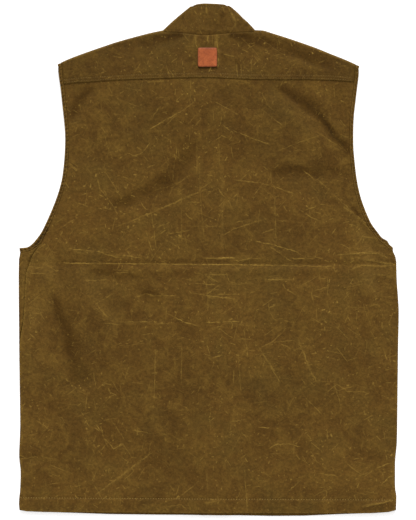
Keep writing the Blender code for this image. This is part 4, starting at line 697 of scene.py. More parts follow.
# Collar: the stitch row's share of the height, the top's corners as (x, width, rise), the room at the corners
# of the neck, and how far the base tucks in.
COLLAR_STITCH = 0.89
COLLAR_CORNERS = ((-19.0, 8.0, 1.3), (30.0, 8.0, 1.35))
COLLAR_CORNER_ROOM = 0.4
TUCK = 3.0
TUCK_HEIGHT = 0.25

# Bindings: the section as (share of the width, drop), the row that the stitches follow, the slanting ropes
# and the dip at the underarm.
BINDING_PROFILE = (
    (0.0, 0.8), (0.06, 0.35), (0.16, 0.08), (0.32, -0.08), (0.5, -0.1), (0.62, 0.0), (0.7, 0.3), (0.78, 0.05),
    (0.9, 0.1), (1.0, 0.4), (1.08, 1.4), (1.3, 2.0),
)
BINDING_STITCH_COLUMN = 6
ROPE_STEP = 5.8
UNDERARM_DIP = {-1: 0.0, 1: 3.2}
ROPE_HEIGHT = {-1: 0.34, 1: 0.16}

# Materials: linear colours of the cloth and its wax, two colours of painted shade for hollows and shadows,
# and the layers of small scratches and specks.
CLOTH_DARK = (0.069, 0.0335, 0.0055)
CLOTH_MIDDLE = (0.094, 0.0462, 0.0078)
CLOTH_LIGHT = (0.13, 0.0715, 0.0125)
# Painted shade: the colour of crease hollows and dark strokes, and a near black-brown for painted shadows.
CLOTH_HOLLOW_SHADE = (0.044, 0.0196, 0.0022, 1.0)
CLOTH_SHADE = (0.0135, 0.0072, 0.0016, 1.0)
CLOTH_RUBBED = (0.165, 0.094, 0.019, 1.0)
CLOTH_GREEN = (0.08, 0.047, 0.009, 1.0)
WAX_PALE = (0.265, 0.159, 0.03, 1.0)
CLOTH_SPECULAR = 0.12
LINE_HALF_WIDTH = 1.2
# Painted shade by the depth of the creases, paler on their ridges, full at the tone depth.
HOLLOW_SHADE_TONE = -0.42
RIDGE_TONE = 0.25
TONE_DEPTH = 1.2
# Rows of: scale, place, half width, half length, share of cells, strength.
SCRATCH_LAYERS = (
    (13.0, 0.0, 0.0008, 0.042, 0.8, 0.32), (17.0, 11.3, 0.0007, 0.036, 0.8, 0.3),
    (21.0, 1.7, 0.0008, 0.03, 0.8, 0.38), (29.0, 3.1, 0.0009, 0.017, 0.8, 0.5),
    (37.0, 13.9, 0.0009, 0.013, 0.8, 0.5), (47.0, 4.3, 0.001, 0.011, 0.7, 0.6),
    (71.0, 5.9, 0.0011, 0.0055, 0.7, 0.7), (64.0, 7.3, 0.0017, 0.0028, 0.6, 0.9),
    (118.0, 8.9, 0.0012, 0.002, 0.6, 0.75),
)


@functools.lru_cache(maxsize=None)
def dense(table):
    """A table of (place, value) rows as closely spaced places and smooth values."""
    places = np.linspace(table[0][0], table[-1][0], 600)
    values = []
    k = 0
    for at in places:
        while k < len(table) - 2 and at > table[k + 1][0]:
            k += 1
        width = table[k + 1][0] - table[k][0]
        share = (at - table[k][0]) / width
        start_slope = slope_at(table, k)
        end_slope = slope_at(table, k + 1)
        square, cube = share**2, share**3
        values.append(
            table[k][1] * (2 * cube - 3 * square + 1)
            + start_slope * width * (cube - 2 * square + share)
            + table[k + 1][1] * (3 * square - 2 * cube)
            + end_slope * width * (cube - square)
        )
    return places, np.array(values)


def slope_at(table, k):
    """The slope of a table's curve at row k: the harmonic mean of those beside it, or level at a turn."""
    slopes = []
    for i in (k - 1, k):
        if 0 <= i < len(table) - 1:
            slopes.append((table[i + 1][1] - table[i][1]) / (table[i + 1][0] - table[i][0]))
    if len(slopes) == 1:
        return slopes[0]
    if slopes[0] * slopes[1] <= 0:
        return 0.0
    return 2 * slopes[0] * slopes[1] / (slopes[0] + slopes[1])


def read(table, at):
    """The smooth value at a place, or at each of an array of places."""
    places, values = dense(tuple(table))
    found = np.interp(at, places, values)
    return found if isinstance(at, np.ndarray) else float(found)


class Path:
    """A smooth curve through (x, y) points, read by the share of its length."""

    def __init__(self, points):
        lengths = [0.0]
        for before, after in zip(points, points[1:]):
            lengths.append(lengths[-1] + math.dist(before, after))
        self.length = lengths[-1]
        self.across = tuple((length, point[0]) for length, point in zip(lengths, points))
        self.up = tuple((length, point[1]) for length, point in zip(lengths, points))

    def at(self, share):
        length = share * self.length
        return read(self.across, length), read(self.up, length)

    def heading(self, share):
        before = self.at(max(share - 0.01, 0.0))
        after = self.at(min(share + 0.01, 1.0))
        long = math.dist(before, after)
        return (after[0] - before[0]) / long, (after[1] - before[1]) / long


def mix(a, b, share):
    return a + (b - a) * share


def mix_points(a, b, share):
    return tuple(mix(p, q, share) for p, q in zip(a, b))


def ease(share):
    """A smooth step from 0 to 1."""
    share = np.clip(share, 0.0, 1.0)
    return share * share * (3 - 2 * share)


def away_from(x, y, x0, y0, x1, y1):
    """Distance from a straight stretch, and the share of the way along it."""
    along_x, along_y = x1 - x0, y1 - y0
    share = ((x - x0) * along_x + (y - y0) * along_y) / max(along_x**2 + along_y**2, 1e-9)
    near = np.clip(share, 0.0, 1.0)
    return np.hypot(x - x0 - near * along_x, y - y0 - near * along_y), near


def away_from_winding(x, y, stretch, half_width, number):
    """The same for a crease that winds a little round its straight stretch."""
    wind = half_width * 0.5 * np.sin((x + 1.7 * y) / 9.0 + number)
    return away_from(x + wind, y + wind, *stretch)


def fold_height(x, y):
    """The sum of the solids' ridges and troughs at a place."""
    total = 0.0
    for x0, y0, x1, y1, half_width, height in FOLDS:
        away, _ = away_from(x, y, x0, y0, x1, y1)
        total = total + height * np.exp(-((away / half_width) ** 2)) * (away < 3 * half_width)
    return total


def over_lap(x, y):
    """1 over the placket and the right front's edge, easing to 0 beside and above them."""
    left = ease((x - LAP_SWELL_LEFT + LAP_SWELL_EASE) / LAP_SWELL_EASE)
    right = ease((LAP_SWELL_RIGHT + LAP_SWELL_EASE - x) / LAP_SWELL_EASE)
    top = 1 - ease((y - LAP_TOP) / LAP_TOP_EASE)
    return np.minimum(left, right) * top


def top_height(x, y):
    """Height of the back panel's outer face in the solids."""
    swell = SWELL_HEIGHT * np.sin(x / SWELL_ACROSS + 1.0) * np.cos(y / SWELL_UP)
    above_yoke_seam = ease((y - read(YOKE_SEAM, x) - YOKE_LAP) / YOKE_EASE_LENGTH)
    lap = over_lap(x, y)
    at_hem = 1 - ease((y - HEM_TOP) / HEM_TOP_EASE)
    least = mix(LEAST_HEIGHT, mix(LEAST_OVER_LAP, LEAST_OVER_HEM, at_hem), lap)
    loose = BODY_HEIGHT + swell + fold_height(x, y) - YOKE_EASE * above_yoke_seam + LAP_SWELL * lap
    return np.maximum(loose, least)


def crease_height(creases, x, y):
    """Small creases, deepest at their middle, a little winding and uneven."""
    total = np.zeros_like(x)
    for number, (x0, y0, x1, y1, half_width, height, _) in enumerate(creases):
        away, share = away_from_winding(x, y, (x0, y0, x1, y1), half_width, number)
        uneven = 0.55 + 0.45 * np.sin(math.pi * share) + 0.2 * np.sin(7 * share + number)
        total += height * uneven * np.exp(-((away / half_width) ** 2))
    return total


def wax_lines(creases, x, y):
    """How much wax has rubbed off along the creases, from 0 to 1."""
    total = np.zeros_like(x)
    for number, (x0, y0, x1, y1, half_width, _, wear) in enumerate(creases):
        if wear:
            away, share = away_from_winding(x, y, (x0, y0, x1, y1), half_width, number)
            total += wear * (0.4 + 0.6 * np.sin(math.pi * share)) * np.exp(-((away / (0.75 * half_width)) ** 2))
    return np.clip(total, 0.0, 1.0)


def tone_at(x, y, depth):
    """How dark or pale the canvas is painted, from -2 to 2: painted shade by the depth of the creases, paler on
    their ridges, and the strongest dark stroke, mostly painted shade and shadow, and the strongest pale stroke
    at a place."""
    creased = HOLLOW_SHADE_TONE * np.clip(-depth / TONE_DEPTH, 0.0, 1.0)
    creased = creased + RIDGE_TONE * np.clip(depth / TONE_DEPTH, 0.0, 1.0)
    dark = np.zeros_like(creased)
    pale = np.zeros_like(creased)
    for x0, y0, x1, y1, half_width, tone in TONE_AND_SHADE_STROKES:
        wind = min(0.35 * half_width, 4.0)
        away, _ = away_from(x + wind * np.sin(y / 11.0 + x0), y + wind * np.sin(x / 13.0 + y0), x0, y0, x1, y1)
        here = tone * np.exp(-((away / half_width) ** 2))
        dark = np.minimum(dark, here)
        pale = np.maximum(pale, here)
    return np.clip(creased + dark + pale, -2.0, 2.0)


def band(values, centre, width):
    """1 at the centre of a band of values, falling off smoothly on both sides."""
    return np.exp(-(((values - centre) / width) ** 2))


def apart(a, b):
    """The least distance between the points of two lines, each read closely."""
    return np.min(np.linalg.norm(a[:, None] - b[None], axis=-1))


def close_points(points):
    """Points along a line, at most about 3 mm apart."""
    made = []
    for start, end in zip(points, points[1:]):
        count = max(2, int(math.dist(start, end) / 3.0))
        made += [mix_points(start, end, k / count) for k in range(count + 1)]
    return np.array(made)


@functools.lru_cache(maxsize=None)
def line_layers():
    """The wax lines in layers, so that no two in one layer come near each other."""
    layers = [[] for _ in range(LINE_LAYERS)]
    for strength, points in WAX_LINES:
        close = close_points(points)
        rooms = [min([apart(close, other) for _, _, other in layer], default=1e9) for layer in layers]
        free = [k for k, room in enumerate(rooms) if room > LINE_ROOM]
        choice = free[0] if free else int(np.argmax(rooms))
        layers[choice].append((strength, points, close))
    return layers


def line_layer(number, x, y):
    """For each point, the distance to one side of the layer's nearest wax line, and how strong it is there."""
    nearest = np.full(x.shape, 1e9)
    side = np.zeros(x.shape)
    strength_here = np.zeros(x.shape)
    for strength, points, _ in line_layers()[number]:
        for (x0, y0), (x1, y1) in zip(points, points[1:]):
            long = math.hypot(x1 - x0, y1 - y0)
            along = ((x - x0) * (x1 - x0) + (y - y0) * (y1 - y0)) / long
            across = ((x - x0) * (y1 - y0) - (y - y0) * (x1 - x0)) / long
            past = np.maximum(np.maximum(-along, along - long), 0.0)
            away = np.hypot(across, past)
            fade = np.exp(-((past / 2.5) ** 2)) * (1 - ease((np.abs(across) - 3.8) / 5.0))
            closer = away < nearest
            nearest = np.where(closer, away, nearest)
            side = np.where(closer, across, side)
            strength_here = np.where(closer, strength * fade, strength_here)
    return side, strength_here


def waviness(x, y):
    """Height of the soft waves of the cloth at a place."""
    total = np.zeros_like(x)
    for across, up, turn, height in WAVES:
        bend = 0.9 * np.sin(y / (1.7 * up) + turn) + 0.7 * np.sin(x / (2.1 * across) - turn)
        total += height * np.sin(x / across * 2 * math.pi / 2.2 + bend + turn)
        total += height * np.sin(y / up * 2 * math.pi / 2.2 + 1.3 * bend - turn)
    return total


def top_relief(x, y):
    """Creases and waviness on top of the solids' height, fading out at the side folds."""
    edge = np.where(x < 0, read(SIDE_EDGE[-1], y), read(SIDE_EDGE[1], y))
    inside = ease((edge - np.abs(x) - 3.0) / 14.0)
    over_armhole = ease((y - 30.0) / 20.0)
    relief = (crease_height(CREASES, x, y) + waviness(x, y)) * np.maximum(inside, over_armhole)
    lap = over_lap(x, y)
    at_hem = 1 - ease((y - HEM_TOP) / HEM_TOP_EASE)
    least = mix(LEAST_HEIGHT, mix(LEAST_OVER_LAP, LEAST_OVER_HEM, at_hem), lap) - 1.0
    room = top_height(x, y) - least
    return np.where(relief < 0, -room * (1 - np.exp(relief / np.maximum(room, 0.05))), relief)


def floor_relief(x, y):
    """The same for the floor layer, only ever upwards."""
    raised = crease_height(FLOOR_CREASES, x, y) + np.maximum(waviness(x, y), 0.0)
    edge = np.where(x < 0, read(SIDE_EDGE[-1], y), read(SIDE_EDGE[1], y))
    return np.maximum(raised, 0.0) * ease((edge - np.abs(x) - 3.0) / 14.0)


def yoke_height(x, y):
    """Height of the yoke's outer face, which laps over the back panel."""
    return top_height(x, y) + CLOTH + LAP_GAP


def front_rise(side, x):
    """Height of the fronts' outer face above the floor, which is more than 0 only beside the centre front."""
    if side < 0:
        return PLACKET_RISE * ease((x - PLACKET_LEFT + RISE_LENGTH) / RISE_LENGTH)
    return LAP_RISE * ease((PLACKET_RIGHT + 1.0 + RISE_LENGTH - x) / RISE_LENGTH)


def roll_radius(side, y):
    edge = read(SIDE_EDGE[side], y)
    return top_height(side * (edge - EDGE_INSET), y) / 2


def roll_start(side, y):
    """Distance from the centre line where the top layer begins to roll over the side."""
    return read(SIDE_EDGE[side], y) - roll_radius(side, y)


def cloth_points(side, reach, y):
    """Points of the outer face by their distances from the centre line along the cloth: on top, round the side
    fold and back along the floor."""
    radius = roll_radius(side, y)
    past = reach - roll_start(side, y)
    angle = np.clip(past / radius, 0.0, math.pi)
    beyond = np.maximum(past - math.pi * radius, 0.0)
    x = side * (reach - np.maximum(past, 0.0) + radius * np.sin(angle) - beyond)
    on_top = top_height(x, y) + top_relief(x, y)
    rolled = radius + radius * np.cos(angle)
    on_floor = front_rise(side, x) + floor_relief(x, y)
    z = np.where(past <= 0, on_top, np.where(beyond > 0, on_floor, rolled))
    return np.stack([x, y, z], axis=-1)


def floor_reach(side, x, y):
    """The reach of a point on the floor layer."""
    return 2 * roll_start(side, y) + math.pi * roll_radius(side, y) - side * x


def fan(distance, length):
    """How much of a row's shift in y at its end is left at this distance from the end."""
    return (1 - min(distance / length, 1.0)) ** 3


def shoulder_normal(side, share):
    """Outward direction across the shoulder fold, turning to the collar's at the neck."""
    along_x, along_y = Path(SHOULDER[side]).heading(share)
    normal = (-along_y, along_x) if side < 0 else (along_y, -along_x)
    blend = ease((share - 1 + NECK_BLEND_SHARE) / NECK_BLEND_SHARE)
    turned = mix_points(normal, NECK_CORNER_NORMAL[side], blend)
    long = math.hypot(*turned)
    return turned[0] / long, turned[1] / long


def shoulder_point(side, share, angle):
    """A point on the shoulder's roll: angle 0 is where it leaves the top, and pi where it meets the floor."""
    edge = Path(SHOULDER[side]).at(share)
    normal = shoulder_normal(side, share)
    inside = (edge[0] - normal[0] * SHOULDER_INSET, edge[1] - normal[1] * SHOULDER_INSET)
    radius = yoke_height(*inside) / 2
    out = radius * (math.sin(angle) - 1)
    return edge[0] + normal[0] * out, edge[1] + normal[1] * out, radius + radius * math.cos(angle)


def binding_edges(side, path, share, width):
    """(outer, inner) edge points of the binding in plan."""
    outer = path.at(share)
    along_x, along_y = path.heading(share)
    inward = (-along_y, along_x) if side < 0 else (along_y, -along_x)
    return outer, (outer[0] + inward[0] * width, outer[1] + inward[1] * width)


def seam_share(side):
    """Where the yoke's lower edge meets the armhole, as a share of the armhole's length on the top layer."""
    path = Path(ARMHOLE_TOP[side])
    seam_y = YOKE_SEAM[0][1] if side < 0 else YOKE_SEAM[-1][1]
    shares = [k / ARMHOLE_SEARCH_STEPS for k in range(ARMHOLE_SEARCH_STEPS)]
    return min((abs(path.at(share)[1] - seam_y), share) for share in shares)[1]


def fold_station(side):
    """(outer, inner) plan points of the binding where it reaches the side fold."""
    outer_y, inner_y = OUTER_UNDERARM[side], INNER_UNDERARM[side]
    return (side * roll_start(side, outer_y), outer_y), (side * roll_start(side, inner_y), inner_y)


def top_stations(side):
    """(outer, inner) plan points of the binding on the top layer, from the shoulder to the side fold."""
    path = Path(ARMHOLE_TOP[side])
    seam = seam_share(side)
    shares = [seam * k / YOKE_CELLS for k in range(YOKE_CELLS)]
    shares += [mix(seam, 1.0, k / ARMHOLE_CELLS) for k in range(ARMHOLE_CELLS + 1)]
    stations = [binding_edges(side, path, share, read(BINDING_WIDTH, share)) for share in shares]
    stations[0] = tuple(point[:2] for point in shoulder_station(side, 0.0))
    return stations + list(UNDERARM_TOP[side]) + [fold_station(side)]


def shoulder_station(side, angle):
    """(outer, inner) points of the binding on the shoulder's roll."""
    inner_share = BINDING_WIDTH[0][1] / Path(SHOULDER[side]).length
    return shoulder_point(side, 0.0, angle), shoulder_point(side, inner_share, angle)


def floor_stations(side):
    """(outer, inner) plan points of the binding on the floor layer, from the side fold to the shoulder."""
    path = Path(ARMHOLE_FLOOR[side])
    stations = [fold_station(side), UNDERARM_FLOOR[side]]
    last_share = 1 - YOKE_FRONT_STRIP / path.length
    for share in [last_share * k / (FLOOR_ARMHOLE_CELLS - 1) for k in range(FLOOR_ARMHOLE_CELLS)] + [1.0]:
        outer = path.at(share)
        along_x, along_y = path.heading(share)
        inward = (along_y, -along_x) if side < 0 else (-along_y, along_x)
        width = read(BINDING_WIDTH, 1 - share)
        stations.append((outer, (outer[0] + inward[0] * width, outer[1] + inward[1] * width)))
    stations[-1] = tuple(point[:2] for point in shoulder_station(side, math.pi))
    return stations


def beside(station, gap):
    """A panel's edge point, a gap away from the binding's inner edge."""
    outer, inner = station
    long = math.dist(outer, inner)
    return tuple(b + (b - a) / long * gap for a, b in zip(outer, inner))


def side_seam_end(side, y):
    """Reach of the side seam: on the left it climbs onto the back, and on the right it lies underneath."""
    if side < 0:
        return read(LEFT_SEAM, y)
    return roll_start(1, y) + math.pi * roll_radius(1, y) + SIDE_SEAM_UNDER


def rim_columns(side, end, y, shares):
    """Reaches of the columns at a side: the row's end, shares of the side's roll, and one inside it. Where
    the cloth ends short of them they are closely spaced."""
    start = roll_start(side, y)
    half_turn = math.pi * roll_radius(side, y)
    targets = [end] + [start + share * half_turn for share in shares] + [start - BACK_COLUMN_INSET]
    return [min(target, end - LEAST_RIM_CELL * k) for k, target in enumerate(targets)]


def back_ends():
    """(left end, right end, middle y) of each row of the back panel, the ends as (reach, y) pairs."""
    ends = []
    for y in BODY_ROWS:
        ends.append(((side_seam_end(-1, y), y), (side_seam_end(1, y), y), y))
    crossing_y = INNER_UNDERARM[1] - SEAM_GAP
    for left_y, share, right_y, middle_y in BACK_FAN:
        right_reach = mix(side_seam_end(1, right_y), roll_start(1, crossing_y), share)
        ends.append(((read(LEFT_SEAM, left_y), left_y), (right_reach, right_y), middle_y))
    left_stations = top_stations(-1)[YOKE_CELLS:YOKE_CELLS + ARMHOLE_CELLS + 2]
    left = [beside(station, SEAM_GAP) for station in left_stations]
    right = [beside(station, SEAM_GAP) for station in top_stations(1)[YOKE_CELLS:]]
    left_reaches = [(-x, y) for x, y in left]
    left_reaches += [(read(LEFT_SEAM, y), y) for y in reversed(BACK_FAN_LEFT_TOP)]
    middles = list(reversed(BACK_FAN_MIDDLE_TOP))
    rise = [mix(read(YOKE_SEAM, 0.0), middles[0], k / (ARMHOLE_CELLS + 1)) for k in range(ARMHOLE_CELLS + 1)]
    for left_end, right_end, middle_y in reversed(list(zip(left_reaches, right, rise + middles))):
        ends.append((left_end, right_end, middle_y))
    return ends


def front_ends(side):
    """(reach, y) of the outer end of each of a front's rows and y in its middle, from the hem to the yoke's
    strip."""
    ends = []
    fan_rows = LEFT_FAN if side < 0 else RIGHT_FAN
    for y, middle_y in [(y, y) for y in BODY_ROWS[:-1]] + list(fan_rows):
        gap = mix(SEAM_GAP, ROLLED_SEAM_GAP, read(ROLLED_SEAM, y)) if side < 0 else SEAM_GAP
        ends.append((side_seam_end(side, y) + gap, y, middle_y))
    stations = floor_stations(side)
    if side < 0:
        binding = [(-x, y) for x, y in (beside(station, SEAM_GAP) for station in UNDERARM_TOP[side])]
        binding[0] = (binding[0][0] + SEAM_GAP, binding[0][1] - SEAM_GAP)
        y = INNER_UNDERARM[side] - SEAM_GAP
        start = roll_start(side, y)
        half_turn = math.pi * roll_radius(side, y)
        binding += [(start + half_turn * k / 3, y) for k in range(4)]
        fan_heights = LEFT_FAN_BINDING
    else:
        binding = []
        fan_heights = RIGHT_FAN_BINDING
    x, y = beside(stations[1], SEAM_GAP)
    binding.append((floor_reach(side, x, y), y))
    ends += [(reach, y, middle_y) for (reach, y), middle_y in zip(binding, fan_heights)]
    for k, station in enumerate(stations[2:-1]):
        x, y = beside(station, SEAM_GAP)
        ends.append((floor_reach(side, x, y), y, y + FLOOR_FAN_RISE * (1 - k / FLOOR_ARMHOLE_CELLS)))
    return ends


def neck_shares(side):
    """Places along the front neck seam where the collar's columns meet the front's rows, from the shoulder
    down."""
    neck = Path(NECK_FRONT[side])
    strip = YOKE_FRONT_STRIP / neck.length + 0.004
    inside = PLACKET_LEFT - SEAM_GAP if side < 0 else CENTRE_FRONT + 4.0
    shares = [k / ARMHOLE_SEARCH_STEPS for k in range(ARMHOLE_SEARCH_STEPS + 1)]
    last = min((abs(neck.at(share)[0] - inside), share) for share in shares)[1]
    return [mix(strip, last, k / (FRONT_NECK_ROWS - 1)) for k in range(FRONT_NECK_ROWS)]


def neck_end(side, share):
    """A front's edge point beside the neck seam."""
    neck = Path(NECK_FRONT[side])
    x, y = neck.at(share)
    along_x, along_y = neck.heading(share)
    return x + side * abs(along_y) * SEAM_GAP, y - abs(along_x) * SEAM_GAP


def centre_front_ends(side, edge_x, middles):
    """Centre ends of a front's rows: up the straight edge, then round the neck to the yoke's strip."""
    straight = len(middles) - FRONT_NECK_ROWS
    top_y = read(tuple(reversed([(abs(x), y) for x, y in NECK_FRONT[side]])), abs(edge_x)) - 2 * SEAM_GAP
    ends = [(edge_x, y) for y in middles[:len(BODY_ROWS)]]
    more = straight - len(ends)
    ends += [(edge_x, mix(BODY_ROWS[-1], top_y, ((k + 1) / more) ** CENTRE_ROW_POWER)) for k in range(more)]
    return ends + [neck_end(side, share) for share in reversed(neck_shares(side))]


def gap_below(edge, at):
    """The upright distance that keeps the strip's gap square to its sloping edge."""
    slope = read(edge, at + 0.5) - read(edge, at - 0.5)
    return STRIP_GAP * math.hypot(1.0, slope)


def front_reaches(side, outer_reach, outer_y, centre):
    """Reaches of a front's columns, from the centre front to the outer edge."""
    centre_reach = floor_reach(side, centre[0], centre[1])
    start = roll_start(side, outer_y)
    half_turn = math.pi * roll_radius(side, outer_y)
    if side < 0:
        targets = [outer_reach, (outer_reach + start) / 2, start]
        targets += [start + half_turn * share for share in FRONT_ROLL_SHARES]
        targets += [start + half_turn + FRONT_COLUMN_INSET]
    else:
        targets = [outer_reach] + [outer_reach + place for place in FRONT_SEAM_COLUMNS]
    outer = [max(target, outer_reach + LEAST_RIM_CELL * k) for k, target in enumerate(targets)]
    near = [centre_reach - place for place in reversed(RISE_PLACES[side])]
    between = [mix(outer[-1], near[0], share) for share in FRONT_MIDDLE_SHARES]
    return list(reversed(outer + between + near))


def yoke_strip_point(side, place, share):
    """A point of the yoke's strip on the front, down from the shoulder's roll."""
    start = shoulder_point(side, place, math.pi)
    normal = shoulder_normal(side, place)
    down = (start[0] - normal[0] * YOKE_FRONT_STRIP, start[1] - normal[1] * YOKE_FRONT_STRIP)
    neck = Path(NECK_FRONT[side])
    neck_x, neck_y = neck.at(YOKE_FRONT_STRIP / neck.length)
    beside_neck = (neck_x + side * SEAM_GAP, neck_y)
    armhole_end = beside(floor_stations(side)[-2], SEAM_GAP)
    armhole_end = (armhole_end[0], armhole_end[1] + SEAM_GAP)
    inner_share = (BINDING_WIDTH[0][1] + SEAM_GAP) / Path(SHOULDER[side]).length
    to_neck = ease((place - 1 + STRIP_NECK_SHARE) / STRIP_NECK_SHARE)
    to_armhole = 1 - ease((place - inner_share) / STRIP_ARMHOLE_SHARE)
    end = mix_points(down, beside_neck, to_neck)
    end = mix_points(end, armhole_end, to_armhole)
    x, y = mix_points(start[:2], end, share)
    return x, y, 0.0


def strip_edge(side):
    """The strip's lower edge: rows of (distance from the centre line, y)."""
    inner_share = (BINDING_WIDTH[0][1] + SEAM_GAP) / Path(SHOULDER[side]).length
    places = [mix(inner_share, 1.0, k / SHOULDER_COLUMNS) for k in range(SHOULDER_COLUMNS + 1)]
    points = [yoke_strip_point(side, place, 1.0) for place in places]
    return tuple(sorted((abs(x), y) for x, y, _ in points))


def collar_normal(side, v):
    along_x, along_y = Path(COLLAR_SIDE[side]).heading(v)
    normal = (-along_y, along_x) if side < 0 else (along_y, -along_x)
    blend = 1 - ease(v / COLLAR_BASE_TURN_SHARE)
    turned = mix_points(normal, NECK_CORNER_NORMAL[side], blend)
    turned = mix_points(turned, (side * 1.0, COLLAR_TOP_HEADING), ease((v - 0.5) / 0.5))
    long = math.hypot(*turned)
    return turned[0] / long, turned[1] / long


def collar_edge(side, v):
    """Plan point of the collar's folded side, lifted clear of the yoke at its base."""
    x, y = Path(COLLAR_SIDE[side]).at(v)
    return x - side * SEAM_GAP * (1 - v), y + COLLAR_CORNER_ROOM * (1 - v)


def collar_radius(side, v):
    corner = shoulder_point(side, 1.0, 0.0)
    base = yoke_height(corner[0], corner[1]) + COLLAR_STEP
    return mix(base, COLLAR_EDGE_HEIGHT, v) / 2


def collar_fold_point(side, v, angle):
    edge = collar_edge(side, v)
    normal = collar_normal(side, v)
    radius = collar_radius(side, v)
    out = radius * (math.sin(angle) - 1)
    return edge[0] + normal[0] * out, edge[1] + normal[1] * out, radius + radius * math.cos(angle)


def patch_between(base, top, start, end, c, v):
    """A point of the surface between four edges: base and top at c, and start and end at v."""
    corners = (base(0), base(1), top(0), top(1))
    flat = mix_points(mix_points(corners[0], corners[1], c), mix_points(corners[2], corners[3], c), v)
    ruled = mix_points(base(c), top(c), v)
    sides = mix_points(start(v), end(v), c)
    return tuple(a + b - d for a, b, d in zip(ruled, sides, flat))


def collar_back_point(c, v):
    neck = Path(NECK_BACK)
    crown = Path(COLLAR_TOP)

    def base(share):
        x, y = neck.at(share)
        corner = 1 - ease(min(share, 1 - share) * COLLAR_BACK_COLUMNS / COLLAR_CORNER_COLUMNS)
        return x, y + mix(SEAM_GAP, COLLAR_CORNER_ROOM, corner)

    x, y = patch_between(
        base,
        crown.at,
        lambda place: collar_fold_point(-1, place, 0.0)[:2],
        lambda place: collar_fold_point(1, place, 0.0)[:2],
        c,
        v,
    )
    seam_x, seam_y = neck.at(c)
    at_seam = yoke_height(seam_x, seam_y) + COLLAR_STEP
    bulge = COLLAR_BULGE * math.sin(math.pi * c) * math.sin(0.85 * math.pi * v**0.8)
    fold_height_here = 2 * mix(collar_radius(-1, v), collar_radius(1, v), c)
    near_fold = min(c, 1 - c) * COLLAR_BACK_COLUMNS
    z = mix(at_seam, COLLAR_EDGE_HEIGHT, v) + bulge
    return x, y, mix(fold_height_here, z, ease(near_fold / 2))


def collar_front_point(side, c, v):
    """A point of the collar's floor layer: c is 0 at the side fold and 1 at the centre front."""
    neck = Path(NECK_FRONT[side])
    crown = Path(COLLAR_FRONT_TOP[side])

    def base(share):
        x, y = neck.at(share)
        inward = SEAM_GAP * (1 + share)
        return x - side * inward * (1 - share) + side * 0.6 * share, y + inward * share

    x, y = patch_between(
        base,
        crown.at,
        lambda place: collar_fold_point(side, place, math.pi)[:2],
        lambda place: mix_points(base(1), crown.at(1), place),
        c,
        v,
    )
    return x, y, front_rise(side, x) * (1 - 0.8 * v)


def binding_height(side, x, y):
    """Outer face of the binding on the top layer: it climbs from the back panel onto the yoke."""
    seam_y = YOKE_SEAM[0][1] if side < 0 else YOKE_SEAM[-1][1]
    on_yoke = ease((y - seam_y + 12.0) / 24.0)
    return mix(top_height(x, y), yoke_height(x, y), on_yoke)


def refine(rows, step, close=()):
    """Adds rows and columns on straight lines between these, until most are no longer than the step. Rows whose
    middle lies in one of the close spans of y get the close step."""
    grid = np.array(rows, dtype=float)
    for axis in (0, 1):
        grid = np.moveaxis(grid, axis, 0)
        finer = []
        for before, after in zip(grid, grid[1:]):
            longest = np.percentile(np.linalg.norm((after - before)[:, :2], axis=-1), 80)
            middle = before.shape[0] // 2
            low, high = before[middle, 1], after[middle, 1]
            at_crease = any(low < end and high > start for start, end in close) and axis == 0
            count = max(1, math.ceil(longest / (CLOSE_STEP if at_crease else step)))
            finer += [mix(before, after, k / count) for k in range(count)]
        finer.append(grid[-1])
        grid = np.moveaxis(np.array(finer), 0, axis)
    return grid


def shell(name, grid, thickness, material, nodes, wear=None, keep=None, tone=None, lines=None):
    """A cloth wall inside a grid of outer points. Points where keep is False are left out."""
    height, width = grid.shape[:2]
    kept = np.ones((height, width), bool) if keep is None else keep
    index = np.cumsum(kept.ravel()).reshape(kept.shape) - 1
    quads = []
    whole = kept[:-1, :-1] & kept[:-1, 1:] & kept[1:, :-1] & kept[1:, 1:]
    for j, i in np.argwhere(whole):
        quads.append((index[j, i], index[j, i + 1], index[j + 1, i + 1], index[j + 1, i]))
    mesh = bpy.data.meshes.new(name)
    mesh.from_pydata((grid[kept] * MM).tolist(), [], [[int(v) for v in quad] for quad in quads])
    mesh.validate()
    for attribute, given in (("wear", wear), ("tone", tone)):
        layer = mesh.attributes.new(attribute, "FLOAT", "POINT")
        values = np.zeros(kept.sum()) if given is None else given[kept]
        layer.data.foreach_set("value", values.astype(np.float32))
    for number, (side, strength) in enumerate(lines or ()):
        layer = mesh.attributes.new(f"wax_lines_{number}", "FLOAT_VECTOR", "POINT")
        values = np.stack([side[kept], strength[kept], np.zeros(kept.sum())], axis=-1)
        layer.data.foreach_set("vector", values.astype(np.float32).ravel())
    mesh.shade_smooth()
    piece = bpy.data.objects.new(name, mesh)
    bpy.context.scene.collection.objects.link(piece)
    mesh.materials.append(material)
    if thickness:
        wall = piece.modifiers.new("wall", "SOLIDIFY")
        wall.thickness = thickness * MM
        wall.offset = -1.0
    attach(piece, "root")
    if nodes:
        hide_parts(*nodes)
    return piece


def hem_line(x):
    """Y of the hem's stitch row."""
    return mix(HEM_STITCH_LEFT, HEM_STITCH_RIGHT, (x + 284.0) / 568.0)


def hem_relief(x, y):
    """The turned hem: a groove under its stitches, fuller cloth below it with slanting ropes, a soft edge."""
    below = hem_line(x) - y
    groove = -GROOVE_DEPTH * np.exp(-((below / GROOVE_WIDTH) ** 2))
    puff = HEM_PUFF * ease(below / 2.5)
    slant = x + 0.7 * below + 3 * np.sin(x / 47.0)
    ropes = HEM_ROPE_HEIGHT * ease(below / 4.0) * np.sin(slant * 2 * math.pi / HEM_ROPE_STEP)
    edge = -EDGE_DROP * np.exp(-np.maximum(20.5 - below, 0.0) / 1.2)
    pulls = 0.14 * np.exp(-((below + 3.5) / 5.0) ** 2)
    pulls = pulls * np.sin(x * 2 * math.pi / PUCKER_STEP + np.sin(x / 31.0))
    return np.where(below > -14.0, groove + puff + ropes + edge + pulls, 0.0)


